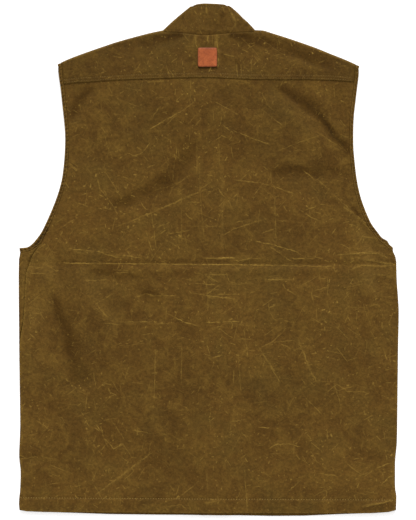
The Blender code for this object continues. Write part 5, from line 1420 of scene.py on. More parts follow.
def make_back(material):
    """The back panel, from the turned hem up to its lap under the yoke."""
    rows = []
    for left_end, right_end, middle_y in back_ends():
        left = rim_columns(-1, left_end[0], left_end[1], BACK_ROLL_SHARES[-1])
        right = rim_columns(1, right_end[0], right_end[1], BACK_ROLL_SHARES[1])
        reaches = [-reach for reach in left[:-1]]
        reaches += [mix(-left[-1], right[-1], k / MAIN_COLUMNS) for k in range(MAIN_COLUMNS + 1)]
        reaches += list(reversed(right[:-1]))
        row = []
        for reach in reaches:
            y = middle_y + (left_end[1] - middle_y) * fan(reach + left_end[0], FAN_LENGTH)
            y += (right_end[1] - middle_y) * fan(right_end[0] - reach, FAN_LENGTH)
            row.append((reach, y))
        rows.append(row)
    lap = [(reach, y + YOKE_LAP) for reach, y in rows[-1]]
    hem = [(reach, read(BACK_HEM, reach)) for reach, y in rows[0]]
    plan = refine([hem] + rows + [lap], TOP_STEP, CLOSE_SPANS)
    reach, y = plan[..., 0], plan[..., 1]
    left_half = cloth_points(-1, np.abs(reach), y)
    right_half = cloth_points(1, np.abs(reach), y)
    grid = np.where((reach < 0)[..., None], left_half, right_half)
    top = np.abs(reach) < np.where(reach < 0, roll_start(-1, y), roll_start(1, y))
    grid[..., 2] += np.where(top, hem_relief(grid[..., 0], y), 0.0)
    wear = wax_lines(CREASES, grid[..., 0], y)
    wear += 0.8 * np.exp(-np.maximum(y - read(BACK_HEM, reach), 0.0) / 1.3)
    # A pale line along the back's edge at the left seam: painted highlight of the fold, and wax worn there.
    seam_edge_highlight = np.exp(-(reach - reach[:, :1]) / 1.4) * ease((26.0 - y) / 6.0)
    wear = np.where(top, wear + 0.8 * seam_edge_highlight, 0.25)
    depth = fold_height(grid[..., 0], y) + crease_height(CREASES, grid[..., 0], y)
    tone = np.where(top, tone_at(grid[..., 0], y, depth), 0.0)
    lines = []
    for number in range(LINE_LAYERS):
        side, strength = line_layer(number, grid[..., 0], y)
        lines.append((side, np.where(top, strength, 0.0)))
    piece = shell(
        "back_panel_canvas", grid, CLOTH, material, ["back_panel"], wear, tone=tone, lines=lines
    )
    return piece, grid


def make_front(side, name, node, material):
    """A front, on the floor but for the part of the left one that lies on the back."""
    outer_ends = front_ends(side)
    edge_x = PLACKET_LEFT - SEAM_GAP if side < 0 else LAP_EDGE
    centre_ends = centre_front_ends(side, edge_x, [middle_y for _, _, middle_y in outer_ends])
    length = LEFT_FRONT_FAN_LENGTH if side < 0 else FAN_LENGTH
    rows = []
    for (outer_reach, outer_y, middle_y), centre in zip(outer_ends, centre_ends):
        reaches = front_reaches(side, outer_reach, outer_y, centre)
        row = []
        for reach in reaches:
            share = (reaches[0] - reach) / (reaches[0] - reaches[-1])
            y = mix(centre[1], middle_y, ease(share)) + (outer_y - middle_y) * fan(reach - outer_reach, length)
            row.append((reach, y))
        rows.append(row)
    strip = strip_edge(side)
    flat = cloth_points(side, np.array([p[0] for p in rows[-1]]), np.array([p[1] for p in rows[-1]]))
    rows[-1] = [
        (reach, read(strip, abs(x)) - gap_below(strip, abs(x))) for (reach, _), x in zip(rows[-1], flat[:, 0])
    ]
    flat = cloth_points(side, np.array([p[0] for p in rows[0]]), np.array([p[1] for p in rows[0]]))
    rows.insert(0, [(reach, read(FRONT_HEM, x)) for (reach, _), x in zip(rows[0], flat[:, 0])])
    plan = refine(rows, FLOOR_STEP)
    if side > 0:
        plan = plan[:, ::-1]
    reach, y = plan[..., 0], plan[..., 1]
    grid = cloth_points(side, reach, y)
    on_top = reach < roll_start(side, y)
    wear = np.where(on_top, 0.2, wax_lines(FLOOR_CREASES, grid[..., 0], y))
    tone = 0.5 * np.clip(crease_height(FLOOR_CREASES, grid[..., 0], y), -1.0, 1.0)
    # On the part that lies on the back, the strokes paint the shadow of the wedge at the underarm seam.
    tone = np.where(on_top, tone_at(grid[..., 0], y, np.zeros_like(y)), tone)
    return shell(name, grid, CLOTH, material, [node], wear, tone=tone), grid


def stitch_row(name, points, pitch, length, radius, material, normal=(0.0, 0.0, 1.0)):
    """A row of raised stitches along a line of points."""
    line = np.array(points, dtype=float)
    steps = np.linalg.norm(np.diff(line, axis=0), axis=1)
    along = np.concatenate([[0.0], np.cumsum(steps)])
    normals = np.broadcast_to(np.array(normal, dtype=float), line.shape)
    vertices = []
    faces = []
    count = int((along[-1] - length) / pitch)
    for k in range(count):
        start = k * pitch + 0.5 * (pitch - length)
        rings = []
        for share, girth in ((0.0, 0.35), (0.25, 0.95), (0.75, 0.95), (1.0, 0.35)):
            at = start + share * length
            centre = np.array([np.interp(at, along, line[:, c]) for c in range(3)])
            up = np.array([np.interp(at, along, normals[:, c]) for c in range(3)])
            ahead = np.array([np.interp(at + 0.2, along, line[:, c]) for c in range(3)]) - centre
            ahead = ahead / max(np.linalg.norm(ahead), 1e-6)
            across = np.cross(ahead, up)
            bow = math.sin(math.pi * share) * 0.5 - 0.25
            middle = centre + up * (radius * bow - STITCH_SINK + radius * 0.4)
            middle[2] = max(middle[2], STITCH_LEAST_HEIGHT)
            ring = []
            for turn in range(STITCH_SIDES):
                angle = 2 * math.pi * turn / STITCH_SIDES
                ring.append(middle + radius * girth * (across * math.cos(angle) + up * math.sin(angle)))
            rings.append(ring)
        base = len(vertices)
        for ring in rings:
            vertices += ring
        for j in range(3):
            for turn in range(STITCH_SIDES):
                a = base + STITCH_SIDES * j + turn
                b = base + STITCH_SIDES * j + (turn + 1) % STITCH_SIDES
                faces.append((a, b, b + STITCH_SIDES, a + STITCH_SIDES))
        faces.append(tuple(base + t for t in reversed(range(STITCH_SIDES))))
        faces.append(tuple(base + 3 * STITCH_SIDES + t for t in range(STITCH_SIDES)))
    mesh = bpy.data.meshes.new(name)
    mesh.from_pydata([(v * MM).tolist() for v in vertices], [], faces)
    mesh.shade_smooth()
    mesh.materials.append(material)
    piece = bpy.data.objects.new(name, mesh)
    bpy.context.scene.collection.objects.link(piece)
    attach(piece, "root")
    return piece


def make_yoke(material):
    """The yoke: up from its lower edge, and at the shoulders over the roll and down the front."""
    inner_share = {side: (BINDING_WIDTH[0][1] + SEAM_GAP) / Path(SHOULDER[side]).length for side in (-1, 1)}
    shoulder_count = FINER_YOKE * SHOULDER_COLUMNS
    neck_count = FINER_YOKE * NECK_COLUMNS
    columns = [(-1, mix(inner_share[-1], 1.0, k / shoulder_count)) for k in range(shoulder_count + 1)]
    columns += [(0, k / neck_count) for k in range(1, neck_count)]
    columns += [(1, mix(inner_share[1], 1.0, k / shoulder_count)) for k in range(shoulder_count, -1, -1)]
    neck = Path(NECK_BACK)
    armholes = []
    for side in (-1, 1):
        points = [beside(station, SEAM_GAP) for station in top_stations(side)[:YOKE_CELLS + 1]]
        armholes.append(np.array(points[::-1]))
    last = len(columns) - 1
    across = np.linspace(0.0, 1.0, last + 1)
    bottom_x = mix(armholes[0][0, 0], armholes[1][0, 0], across)
    bottom = np.stack([bottom_x, read(YOKE_SEAM, bottom_x)], axis=-1)
    top = []
    for side, place in columns:
        if side:
            top.append(shoulder_point(side, place, 0.0)[:2])
        else:
            x, y = neck.at(place)
            top.append((x, y - SEAM_GAP))
    top = np.array(top)
    height = np.linalg.norm(top - bottom, axis=-1)
    rows = []
    steps = list(YOKE_ROWS) + [None] * YOKE_UPPER_ROWS
    for j, step in enumerate(steps):
        start = np.minimum(YOKE_ROWS[-1] / height, 0.5)
        if step is None:
            share = mix(start, 1.0, (j - len(YOKE_ROWS) + 1) / YOKE_UPPER_ROWS)
        else:
            share = start * step / YOKE_ROWS[-1]
        flat = mix(bottom, top, share[:, None])
        for end, edge, near in ((0, armholes[0], 1 - across), (-1, armholes[1], across)):
            places = np.linspace(0.0, 1.0, len(edge))
            wanted = [np.interp(share[end], places, edge[:, c]) for c in (0, 1)]
            flat = flat + (np.array(wanted) - mix(bottom[end], top[end], share[end])) * (near**9)[:, None]
        x, y = flat[:, 0], flat[:, 1]
        from_seam = share * height
        from_top = (1 - share) * height
        relief = top_relief(x, y) * ease(from_top / 4.0)
        relief -= EDGE_DROP * np.exp(-from_seam / 0.9)
        for stitch in YOKE_STITCHES:
            relief -= GROOVE_DEPTH * band(from_seam, stitch, 0.8)
        relief += 0.12 * np.sin(x * 2 * math.pi / PUCKER_STEP + np.sin(x / 23.0)) * band(from_seam, 4.2, 3.0)
        rows.append(np.stack([x, y, yoke_height(x, y) + relief], axis=-1))
    hidden = np.full(3, np.nan)
    for k in range(1, FINE_ROLL_CELLS + 1):
        angle = math.pi * k / FINE_ROLL_CELLS
        rows.append([shoulder_point(side, place, angle) if side else hidden for side, place in columns])
    for k in range(1, STRIP_ROWS + 1):
        share = k / STRIP_ROWS
        rows.append([yoke_strip_point(side, place, share) if side else hidden for side, place in columns])
    grid = np.array([np.array(row, dtype=float) for row in rows])
    keep = ~np.isnan(grid[..., 0])
    grid = np.nan_to_num(grid)
    wear = wax_lines(CREASES, grid[..., 0], grid[..., 1])
    wear[0] += 0.55
    wear[1] += 0.25
    wear[len(steps):] = 0.3
    wear[len(steps) - 1] += 0.1
    depth = fold_height(grid[..., 0], grid[..., 1]) + crease_height(CREASES, grid[..., 0], grid[..., 1])
    tone = tone_at(grid[..., 0], grid[..., 1], depth)
    tone[len(steps):] = 0.0
    lines = []
    for number in range(LINE_LAYERS):
        side, strength = line_layer(number, grid[..., 0], grid[..., 1])
        strength[len(steps):] = 0.0
        lines.append((side, strength))
    piece = shell(
        "back_yoke_canvas", grid, CLOTH, material, ["back_yoke"], wear, keep, tone, lines
    )
    rows_of_stitches = []
    for stitch in YOKE_STITCHES:
        rows_of_stitches.append(grid[YOKE_ROWS.index(stitch)])
    return piece, rows_of_stitches


def make_collar(material):
    """The collar's ring, flattened: floor layer, left fold, back, right fold, floor layer. It is open at the
    front."""
    rows = []
    marks = []
    for j in range(COLLAR_FINE_ROWS + 1):
        v = j / COLLAR_FINE_ROWS
        row = []
        shares = [k / COLLAR_FRONT_COLUMNS for k in range(1, COLLAR_FRONT_COLUMNS + 1)]
        row += [collar_front_point(-1, c, v) for c in reversed(shares)]
        row += [collar_fold_point(-1, v, math.pi * (1 - k / FINE_ROLL_CELLS)) for k in range(FINE_ROLL_CELLS)]
        first = len(row)
        row += [collar_back_point(k / COLLAR_TOP_COLUMNS, v) for k in range(COLLAR_TOP_COLUMNS + 1)]
        last = len(row)
        row += [collar_fold_point(1, v, math.pi * (k + 1) / FINE_ROLL_CELLS) for k in range(FINE_ROLL_CELLS)]
        row += [collar_front_point(1, c, v) for c in shares]
        rows.append(row)
        marks = [first, last]
    grid = np.array(rows, dtype=float)
    up = np.linspace(0.0, 1.0, COLLAR_FINE_ROWS + 1)[:, None]
    x, y = grid[:, marks[0]:marks[1], 0], grid[:, marks[0]:marks[1], 1]
    across = np.linspace(0.0, 1.0, marks[1] - marks[0])[None, :]
    inside = ease(np.minimum(across, 1 - across) * 9.0)
    relief = (crease_height(COLLAR_CREASES, x, y) + 0.9 * waviness(x, y)) * inside
    relief *= ease(up / 0.1)
    relief -= 0.35 * band(up, COLLAR_STITCH, 0.018)
    seam_shows = 1 - ease((np.abs(x) - 32.0) / 14.0)
    relief -= 0.35 * np.exp(-(1 - up) / 0.02) + 0.5 * seam_shows * np.exp(-up / 0.02)
    grid[:, marks[0]:marks[1], 2] += relief
    for corner_x, width, rise in COLLAR_CORNERS:
        grid[..., 1] += rise * band(grid[..., 0], corner_x, width) * ease((grid[..., 1] - 362.0) / 16.0)
    tucked = grid[0] + (grid[0] - grid[1]) / np.linalg.norm(grid[0] - grid[1], axis=-1, keepdims=True) * TUCK
    middle = grid[0, marks[0], 2] / 2
    tucked[:, 2] = middle + (grid[0, :, 2] - middle) * TUCK_HEIGHT
    grid = np.concatenate([tucked[None], grid])
    wear = np.full(grid.shape[:2], 0.2)
    wear[1:, marks[0]:marks[1]] = wax_lines(COLLAR_CREASES, x, y)
    tone = np.zeros(grid.shape[:2])
    # Painted shade: darker along the groove of the collar's stitch row.
    stitch_groove_shade = 0.8 * band(up, COLLAR_STITCH, 0.02)
    tone[1:, marks[0]:marks[1]] = tone_at(x, y, crease_height(COLLAR_CREASES, x, y)) - stitch_groove_shade
    up = np.concatenate([[[0.0]], up])
    wear += 0.6 * np.exp(-(1 - up) / 0.02)
    wear = np.clip(wear, 0, 1)
    piece = shell("collar_canvas", grid, COLLAR_CLOTH, material, ["collar"], wear, tone=tone)
    line = grid[round(COLLAR_STITCH * COLLAR_FINE_ROWS) + 1]
    return piece, line


def make_placket(material):
    """The placket: a straight band with a raised line of stitches along each edge."""
    rows = []
    for y in np.linspace(0.0, 1.0, PLACKET_FINE_ROWS + 1):
        row = []
        for i in range(PLACKET_FINE_COLUMNS + 1):
            x = mix(PLACKET_RIGHT, PLACKET_LEFT, i / PLACKET_FINE_COLUMNS)
            low = read(FRONT_HEM, x)
            rise = NECK_DIP_RISE * ((x - CENTRE_FRONT) / (PLACKET_RIGHT - CENTRE_FRONT)) ** 2
            high = NECK_DIP_Y + rise - SEAM_GAP
            edge = min(i, PLACKET_FINE_COLUMNS - i) / PLACKET_FINE_COLUMNS * (PLACKET_RIGHT - PLACKET_LEFT)
            groove = 0.3 * math.exp(-(((edge - PLACKET_STITCH_INSET) / 1.2) ** 2))
            pull = 0.1 * math.sin(mix(low, high, y) * 2 * math.pi / PUCKER_STEP) * math.exp(-edge / 5.0)
            row.append((x, mix(low, high, y), PLACKET_RISE + max(pull, 0.0) + groove))
        rows.append(row)
    grid = np.array(rows)
    wear = np.full(grid.shape[:2], 0.1)
    wear[:, 0] = wear[:, -1] = 0.6
    piece = shell("placket_canvas", grid, PLACKET_CLOTH, material, ["placket"], wear)
    column = round(PLACKET_STITCH_INSET / (PLACKET_RIGHT - PLACKET_LEFT) * PLACKET_FINE_COLUMNS)
    return piece, (grid[:, column], grid[:, PLACKET_FINE_COLUMNS - column])


def closed_curve(points):
    """Smooth points round a closed loop of uneven steps, about the binding's step apart."""
    loop = np.array(points, dtype=float)
    after = np.roll(loop, -1, axis=0)
    steps = np.maximum(np.linalg.norm((after - loop)[:, :3], axis=1), 0.5)
    slopes = (after - loop) / steps[:, None]
    before = np.roll(slopes, 1, axis=0)
    weights = np.roll(steps, 1)
    tangents = (before * steps[:, None] + slopes * weights[:, None]) / (steps + weights)[:, None]
    fine = []
    for k in range(len(loop)):
        a, b = loop[k], after[k]
        ta, tb = tangents[k] * steps[k], tangents[(k + 1) % len(loop)] * steps[k]
        count = max(2, math.ceil(steps[k] / BINDING_STEP))
        for i in range(count):
            s = i / count
            fine.append(
                a * (2 * s**3 - 3 * s**2 + 1) + ta * (s**3 - 2 * s**2 + s)
                + b * (3 * s**2 - 2 * s**3) + tb * (s**3 - s**2)
            )
    return np.array(fine)


def make_binding(side, name, node, material):
    """A closed band round the armhole: down the back, round the side fold, up the front and over the
    shoulder."""
    lines = []
    for outer, inner in top_stations(side)[1:]:
        top = [(x, y, binding_height(side, x, y) + float(top_relief(np.array([x]), np.array([y]))[0]) * 0.8)
               for x, y in (outer, inner)]
        lines.append(top[0] + top[1] + (0.0, 0.0, 1.0))
    for k in range(1, ROLL_CELLS):
        share = k / ROLL_CELLS
        pair = []
        for y in (OUTER_UNDERARM[side] - UNDERARM_DIP[side] * math.sin(math.pi * share), INNER_UNDERARM[side]):
            reach = roll_start(side, y) + share * math.pi * roll_radius(side, y)
            pair.append(tuple(cloth_points(side, np.array([reach]), np.array([y]))[0]))
        angle = math.pi * share
        lines.append(pair[0] + pair[1] + (side * math.sin(angle), 0.0, math.cos(angle)))
    for outer, inner in floor_stations(side)[:-1]:
        lines.append(tuple(outer) + (0.0,) + tuple(inner) + (0.0, 0.0, 0.0, -1.0))
    normal = shoulder_normal(side, 0.0)
    for k in range(ROLL_CELLS, -1, -1):
        angle = math.pi * k / ROLL_CELLS
        pair = shoulder_station(side, angle)
        out = math.sin(angle)
        lines.append(tuple(pair[0]) + tuple(pair[1]) + (normal[0] * out, normal[1] * out, math.cos(angle)))
    fine = closed_curve(lines)
    outer, inner, out = fine[:, 0:3], fine[:, 3:6], fine[:, 6:9]
    out = out / np.linalg.norm(out, axis=1, keepdims=True)
    steps = np.linalg.norm(np.diff(np.vstack([outer, outer[:1]]), axis=0), axis=1)
    along = np.concatenate([[0.0], np.cumsum(steps)[:-1]])
    on_floor = out[:, 2] < -0.5
    rows = []
    ropes = []
    for share, drop in BINDING_PROFILE:
        slant = along + 3.0 * share + 1.5 * np.sin(along / 23.0)
        hollow = np.exp(-((((slant / ROPE_STEP) % 1.0) - 0.5) / 0.2) ** 2) * math.sin(math.pi * min(share, 1.0))
        shift = drop + ROPE_HEIGHT[side] * hollow
        shift = np.where(on_floor, np.maximum(shift, 0.0), shift)
        rows.append(mix(outer, inner, share) - out * shift[:, None])
        # Painted shade: dark dots in the hollows between the slanting ropes.
        ropes.append(-1.9 * hollow * ROPE_HEIGHT[side] / ROPE_HEIGHT[-1])
    grid = np.array(rows)
    grid[..., 2] = np.maximum(grid[..., 2], 0.0)
    tone = np.array(ropes) + tone_at(grid[..., 0], grid[..., 1], np.zeros(grid.shape[:2])) * (out[:, 2] > 0.5)
    grid = np.concatenate([grid, grid[:, :1]], axis=1)
    tone = np.clip(np.concatenate([tone, tone[:, :1]], axis=1), -2.0, 1.0)
    if side > 0:
        grid = grid[:, ::-1]
        tone = tone[:, ::-1]
    wear = np.zeros(grid.shape[:2])
    wear[1:3] = 0.45
    wear[6:8] = 0.25
    piece = shell(name, grid, BINDING_CLOTH, material, [node], wear, tone=tone)
    stitch_line = grid[BINDING_STITCH_COLUMN]
    normals = np.vstack([out, out[:1]])
    if side > 0:
        normals = normals[::-1]
    return piece, stitch_line, normals


def make_patch(material):
    """A square of leather on the yoke with rounded corners, bevelled edges and a slight crown."""
    half = PATCH_SIDE / 2
    place = np.sin(np.linspace(-0.5, 0.5, PATCH_FINE_CELLS + 1) * math.pi)
    across, up = np.meshgrid(place, place)
    pull = 1 - 0.29 * PATCH_ROUNDING / half * (across * up) ** 8
    x = PATCH_CENTRE[0] + half * across * pull
    y = PATCH_CENTRE[1] + half * up * pull
    out = np.maximum(np.abs(across), np.abs(up))
    crown = 0.3 * (1 - out**4) - PATCH_BEVEL * np.exp(-(1 - out) * half / 0.7)
    crown += 0.07 * np.sin(x / 4.1 + 1.0) * np.cos(y / 5.3)
    grid = np.stack([x, y, yoke_height(x, y) + LAP_GAP + PATCH_THICKNESS + crown], axis=-1)
    edge = np.exp(-(1 - out) * half / 1.1)
    nodes = ["leather_patch"]
    return shell("leather_patch_hide", grid, PATCH_THICKNESS, material, nodes, edge)


class Nodes:
    """Adds shader nodes to a material and joins them."""

    def __init__(self, name):
        self.material = bpy.data.materials.new(name)
        self.material.use_nodes = True
        self.tree = self.material.node_tree
        self.shader = self.tree.nodes["Principled BSDF"]
        self.place = self.add("ShaderNodeTexCoord").outputs["Object"]

    def add(self, kind, inputs=(), **settings):
        made = self.tree.nodes.new(kind)
        for key, value in settings.items():
            setattr(made, key, value)
        for key, value in dict(inputs).items():
            self.join(value, made.inputs[key])
        return made

    def join(self, value, socket):
        if isinstance(value, bpy.types.NodeSocket):
            self.tree.links.new(value, socket)
        else:
            socket.default_value = value

    def noise(self, scale, detail=3.0, roughness=0.5, distortion=0.0, place=None, stretch=None):
        at = place or self.place
        if stretch:
            at = self.add("ShaderNodeVectorMath", {0: at, 1: stretch}, operation="MULTIPLY").outputs[0]
        inputs = {"Vector": at, "Scale": scale, "Detail": detail}
        inputs |= {"Roughness": roughness, "Distortion": distortion}
        return self.add("ShaderNodeTexNoise", inputs).outputs["Fac"]

    def math(self, operation, a, b=0.0):
        return self.add("ShaderNodeMath", {0: a, 1: b}, operation=operation).outputs[0]

    def spread(self, value, low, high, new_low=0.0, new_high=1.0):
        """A value taken from one span to another, smoothly and held at the ends."""
        inputs = {"Value": value, "From Min": low, "From Max": high, "To Min": new_low, "To Max": new_high}
        return self.add("ShaderNodeMapRange", inputs, interpolation_type="SMOOTHSTEP").outputs["Result"]

    def blend(self, share, a, b, kind="MIX"):
        return self.add("ShaderNodeMix", {0: share, 6: a, 7: b}, data_type="RGBA", blend_type=kind).outputs[2]

    def bump(self, height, distance, strength, normal=None):
        inputs = {"Height": height, "Distance": distance, "Strength": strength}
        if normal:
            inputs["Normal"] = normal
        return self.add("ShaderNodeBump", inputs).outputs["Normal"]


def scratches(n, place, scale, turn, half_width, half_length, share):
    """Straight scratches, one in some of the cells of a random pattern, each turned its own way."""
    shifted = n.add("ShaderNodeVectorMath", {0: place, 1: (turn, 1.3 * turn, 0.0)}, operation="ADD").outputs[0]
    inputs = {"Vector": shifted, "Scale": scale}
    cells = n.add("ShaderNodeTexVoronoi", inputs, voronoi_dimensions="2D", feature="F1")
    inputs = {0: shifted, 1: cells.outputs["Position"]}
    away = n.add("ShaderNodeVectorMath", inputs, operation="SUBTRACT").outputs[0]
    parts = n.add("ShaderNodeSeparateXYZ", {0: away})
    chance = n.add("ShaderNodeSeparateColor", {0: cells.outputs["Color"]})
    angle = n.math("MULTIPLY", chance.outputs[0], 2 * math.pi)
    cosine = n.math("COSINE", angle)
    sine = n.math("SINE", angle)
    forward = n.math("MULTIPLY", parts.outputs[0], cosine)
    along = n.math("ADD", forward, n.math("MULTIPLY", parts.outputs[1], sine))
    left = n.math("MULTIPLY", parts.outputs[0], sine)
    across = n.math("SUBTRACT", n.math("MULTIPLY", parts.outputs[1], cosine), left)
    reach = n.math("MULTIPLY", chance.outputs[1], half_length)
    over = n.math("SUBTRACT", n.math("ABSOLUTE", along), reach)
    ends = n.spread(over, -0.3 * half_length, 0.0, 1.0, 0.0)
    line = n.math("MULTIPLY", n.spread(n.math("ABSOLUTE", across), 0.0, half_width, 1.0, 0.0), ends)
    return n.math("MULTIPLY", line, n.spread(chance.outputs[2], 1.0 - share, 1.0, 0.0, 1.0))


def canvas_material(name, turn, tint=1.0, with_lines=False):
    """Waxed canvas: a fine weave, mottled wax, pale wax lines and specks, scuffs and small creases, and painted
    shade from the tone attribute.
    """
    n = Nodes(name)
    inputs = {0: n.place, 1: (turn, 0.7 * turn, 0.0)}
    shifted = n.add("ShaderNodeVectorMath", inputs, operation="ADD").outputs[0]
    wander = n.add("ShaderNodeTexNoise", {"Vector": shifted, "Scale": 19.0, "Detail": 3.0}).outputs["Color"]
    wander = n.add("ShaderNodeVectorMath", {0: wander, 1: (0.012, 0.012, 0.0)}, operation="MULTIPLY").outputs[0]
    bent = n.add("ShaderNodeVectorMath", {0: shifted, 1: wander}, operation="ADD").outputs[0]
    broad = n.noise(8.0, 3.0, 0.55, 0.4, place=shifted)
    patchy = n.noise(38.0, 5.0, 0.62, 0.8, place=shifted)
    fine = n.noise(240.0, 5.0, 0.7, place=shifted)
    grain = n.noise(1500.0, 2.0, 0.6, place=shifted)
    dark = tuple(c * tint for c in CLOTH_DARK) + (1.0,)
    middle = tuple(c * tint for c in CLOTH_MIDDLE) + (1.0,)
    light = tuple(c * tint for c in CLOTH_LIGHT) + (1.0,)
    colour = n.blend(n.spread(broad, 0.3, 0.69), dark, middle)
    colour = n.blend(n.math("MULTIPLY", n.spread(patchy, 0.36, 0.73), 0.72), colour, light)
    greenish = n.noise(14.0, 4.0, 0.6, place=shifted)
    colour = n.blend(n.spread(greenish, 0.45, 0.7, 0.0, 0.45), colour, CLOTH_GREEN)
    # Below 0 the tone attribute paints shade: darker in crease hollows and dark strokes, near black-brown below
    # -1 for painted shadows. Above 0 it pales the wax.
    tone = n.add("ShaderNodeAttribute", attribute_name="tone").outputs["Fac"]
    colour = n.blend(n.spread(tone, -1.0, 0.0, 0.85, 0.0), colour, CLOTH_HOLLOW_SHADE)
    colour = n.blend(n.spread(tone, -2.0, -1.0, 0.85, 0.0), colour, CLOTH_SHADE)
    colour = n.blend(n.spread(tone, 0.0, 2.0, 0.0, 0.9), colour, CLOTH_RUBBED)
    mottled = n.spread(fine, 0.3, 0.7, 0.78, 1.22)
    finer = n.noise(560.0, 2.0, 0.6, place=shifted)
    mottled = n.math("MULTIPLY", mottled, n.spread(finer, 0.3, 0.7, 0.91, 1.09))
    speckled = n.add("ShaderNodeCombineColor", {0: mottled, 1: mottled, 2: mottled}).outputs[0]
    colour = n.blend(1.0, colour, speckled, "MULTIPLY")
    groups = n.spread(broad, 0.42, 0.58, 0.45, 1.0)
    marks = []
    for scale, where, half_width, half_length, share, strength in SCRATCH_LAYERS:
        made = scratches(n, bent, scale, where + turn, half_width, half_length, share)
        marks.append(n.math("MULTIPLY", n.math("MULTIPLY", made, groups), strength))
    if with_lines:
        jitter = n.spread(n.noise(150.0, 3.0, 0.6), 0.2, 0.8, -0.9, 0.9)
        broken = n.spread(n.noise(95.0, 3.0, 0.6), 0.38, 0.6, 0.3, 1.15)
        for number in range(LINE_LAYERS):
            held = n.add("ShaderNodeAttribute", attribute_name=f"wax_lines_{number}").outputs["Vector"]
            parts = n.add("ShaderNodeSeparateXYZ", {0: held})
            across = n.math("ABSOLUTE", n.math("ADD", parts.outputs[0], jitter))
            line = n.spread(across, 0.15, LINE_HALF_WIDTH, 1.0, 0.0)
            marks.append(n.math("MULTIPLY", n.math("MULTIPLY", line, broken), parts.outputs[1]))
    rubbed = n.add("ShaderNodeAttribute", attribute_name="wear").outputs["Fac"]
    marks.append(n.math("MULTIPLY", rubbed, n.spread(fine, 0.25, 0.6, 0.3, 0.75)))
    mark = marks[0]
    for other in marks[1:]:
        mark = n.math("MAXIMUM", mark, other)
    mark = n.math("MULTIPLY", mark, n.spread(fine, 0.3, 0.55, 0.45, 1.0))
    colour = n.blend(n.math("MULTIPLY", mark, 0.97), colour, WAX_PALE)
    n.join(colour, n.shader.inputs["Base Color"])
    rough = n.math("ADD", n.spread(patchy, 0.3, 0.7, 0.58, 0.74), n.math("MULTIPLY", mark, 0.12))
    n.join(rough, n.shader.inputs["Roughness"])
    n.shader.inputs["Specular IOR Level"].default_value = CLOTH_SPECULAR
    n.shader.inputs["Specular Tint"].default_value = (1.0, 0.8, 0.5, 1.0)
    weave = []
    for direction in ("X", "Y"):
        inputs = {"Vector": n.place, "Scale": 392.0, "Distortion": 0.6, "Detail": 1.0, "Detail Scale": 0.6}
        wave = n.add("ShaderNodeTexWave", inputs, wave_type="BANDS", bands_direction=direction)
        weave.append(wave.outputs["Fac"])
    crossed = n.math("MAXIMUM", weave[0], weave[1])
    normal = n.bump(n.math("ADD", crossed, n.math("MULTIPLY", grain, 0.8)), 0.00022, 0.45)
    normal = n.bump(n.math("ADD", fine, n.math("MULTIPLY", patchy, 1.8)), 0.0022, 0.34, normal)
    normal = n.bump(mark, 0.0006, 0.5, normal)
    n.join(normal, n.shader.inputs["Normal"])
    return n.material


def leather_material():
    """Tan leather with darker burnished edges, pores and small marks."""
    n = Nodes("patch_leather")
    broad = n.noise(70.0, 4.0, 0.6, 0.5)
    fine = n.noise(420.0, 6.0, 0.7)
    inputs = {"Vector": n.place, "Scale": 1300.0}
    pores = n.add("ShaderNodeTexVoronoi", inputs, feature="F1").outputs["Distance"]
    colour = n.blend(n.spread(broad, 0.35, 0.65), (0.285, 0.063, 0.0132, 1.0), (0.405, 0.098, 0.0225, 1.0))
    colour = n.blend(n.spread(fine, 0.45, 0.66, 0.0, 0.62), colour, (0.19, 0.042, 0.01, 1.0))
    edge = n.add("ShaderNodeAttribute", attribute_name="wear").outputs["Fac"]
    colour = n.blend(n.math("MULTIPLY", edge, 0.75), colour, (0.11, 0.03, 0.012, 1.0))
    n.join(colour, n.shader.inputs["Base Color"])
    n.join(n.spread(fine, 0.3, 0.7, 0.5, 0.66), n.shader.inputs["Roughness"])
    n.shader.inputs["Specular IOR Level"].default_value = 0.25
    normal = n.bump(pores, 0.00012, 0.5)
    normal = n.bump(n.math("ADD", fine, broad), 0.0004, 0.45, normal)
    n.join(normal, n.shader.inputs["Normal"])
    return n.material


def metal_material():
    """Antique brass, brighter where it is rubbed."""
    n = Nodes("snap_metal")
    fine = n.noise(520.0, 5.0, 0.65)
    broad = n.noise(110.0, 3.0, 0.5)
    colour = n.blend(n.spread(broad, 0.35, 0.7), (0.21, 0.145, 0.07, 1.0), (0.46, 0.33, 0.16, 1.0))
    n.join(colour, n.shader.inputs["Base Color"])
    n.shader.inputs["Metallic"].default_value = 1.0
    n.join(n.spread(fine, 0.3, 0.7, 0.28, 0.46), n.shader.inputs["Roughness"])
    n.join(n.bump(fine, 0.0001, 0.4), n.shader.inputs["Normal"])
    return n.material


def thread_material(name, dark, light):
    """Waxed cotton thread, twisted."""
    n = Nodes(name)
    fine = n.noise(900.0, 3.0, 0.6)
    inputs = {"Vector": n.place, "Scale": 620.0}
    twist = n.add("ShaderNodeTexWave", inputs, bands_direction="DIAGONAL").outputs["Fac"]
    colour = n.blend(n.spread(fine, 0.3, 0.7), dark, light)
    n.join(colour, n.shader.inputs["Base Color"])
    n.shader.inputs["Roughness"].default_value = 0.62
    n.shader.inputs["Specular IOR Level"].default_value = 0.12
    n.join(n.bump(twist, 0.00008, 0.5), n.shader.inputs["Normal"])
    return n.material


def floor_material():
    n = Nodes("studio_floor")
    faint = n.spread(n.noise(3.0, 2.0), 0.3, 0.7, 0.9, 0.92)
    pale = n.add("ShaderNodeCombineColor", {0: faint, 1: faint, 2: faint}).outputs[0]
    n.join(pale, n.shader.inputs["Base Color"])
    n.shader.inputs["Roughness"].default_value = 0.9
    n.shader.inputs["Specular IOR Level"].default_value = 0.1
    n.shader.inputs["Emission Color"].default_value = (1.0, 1.0, 1.0, 1.0)
    n.shader.inputs["Emission Strength"].default_value = FLOOR_GLOW
    return n.material


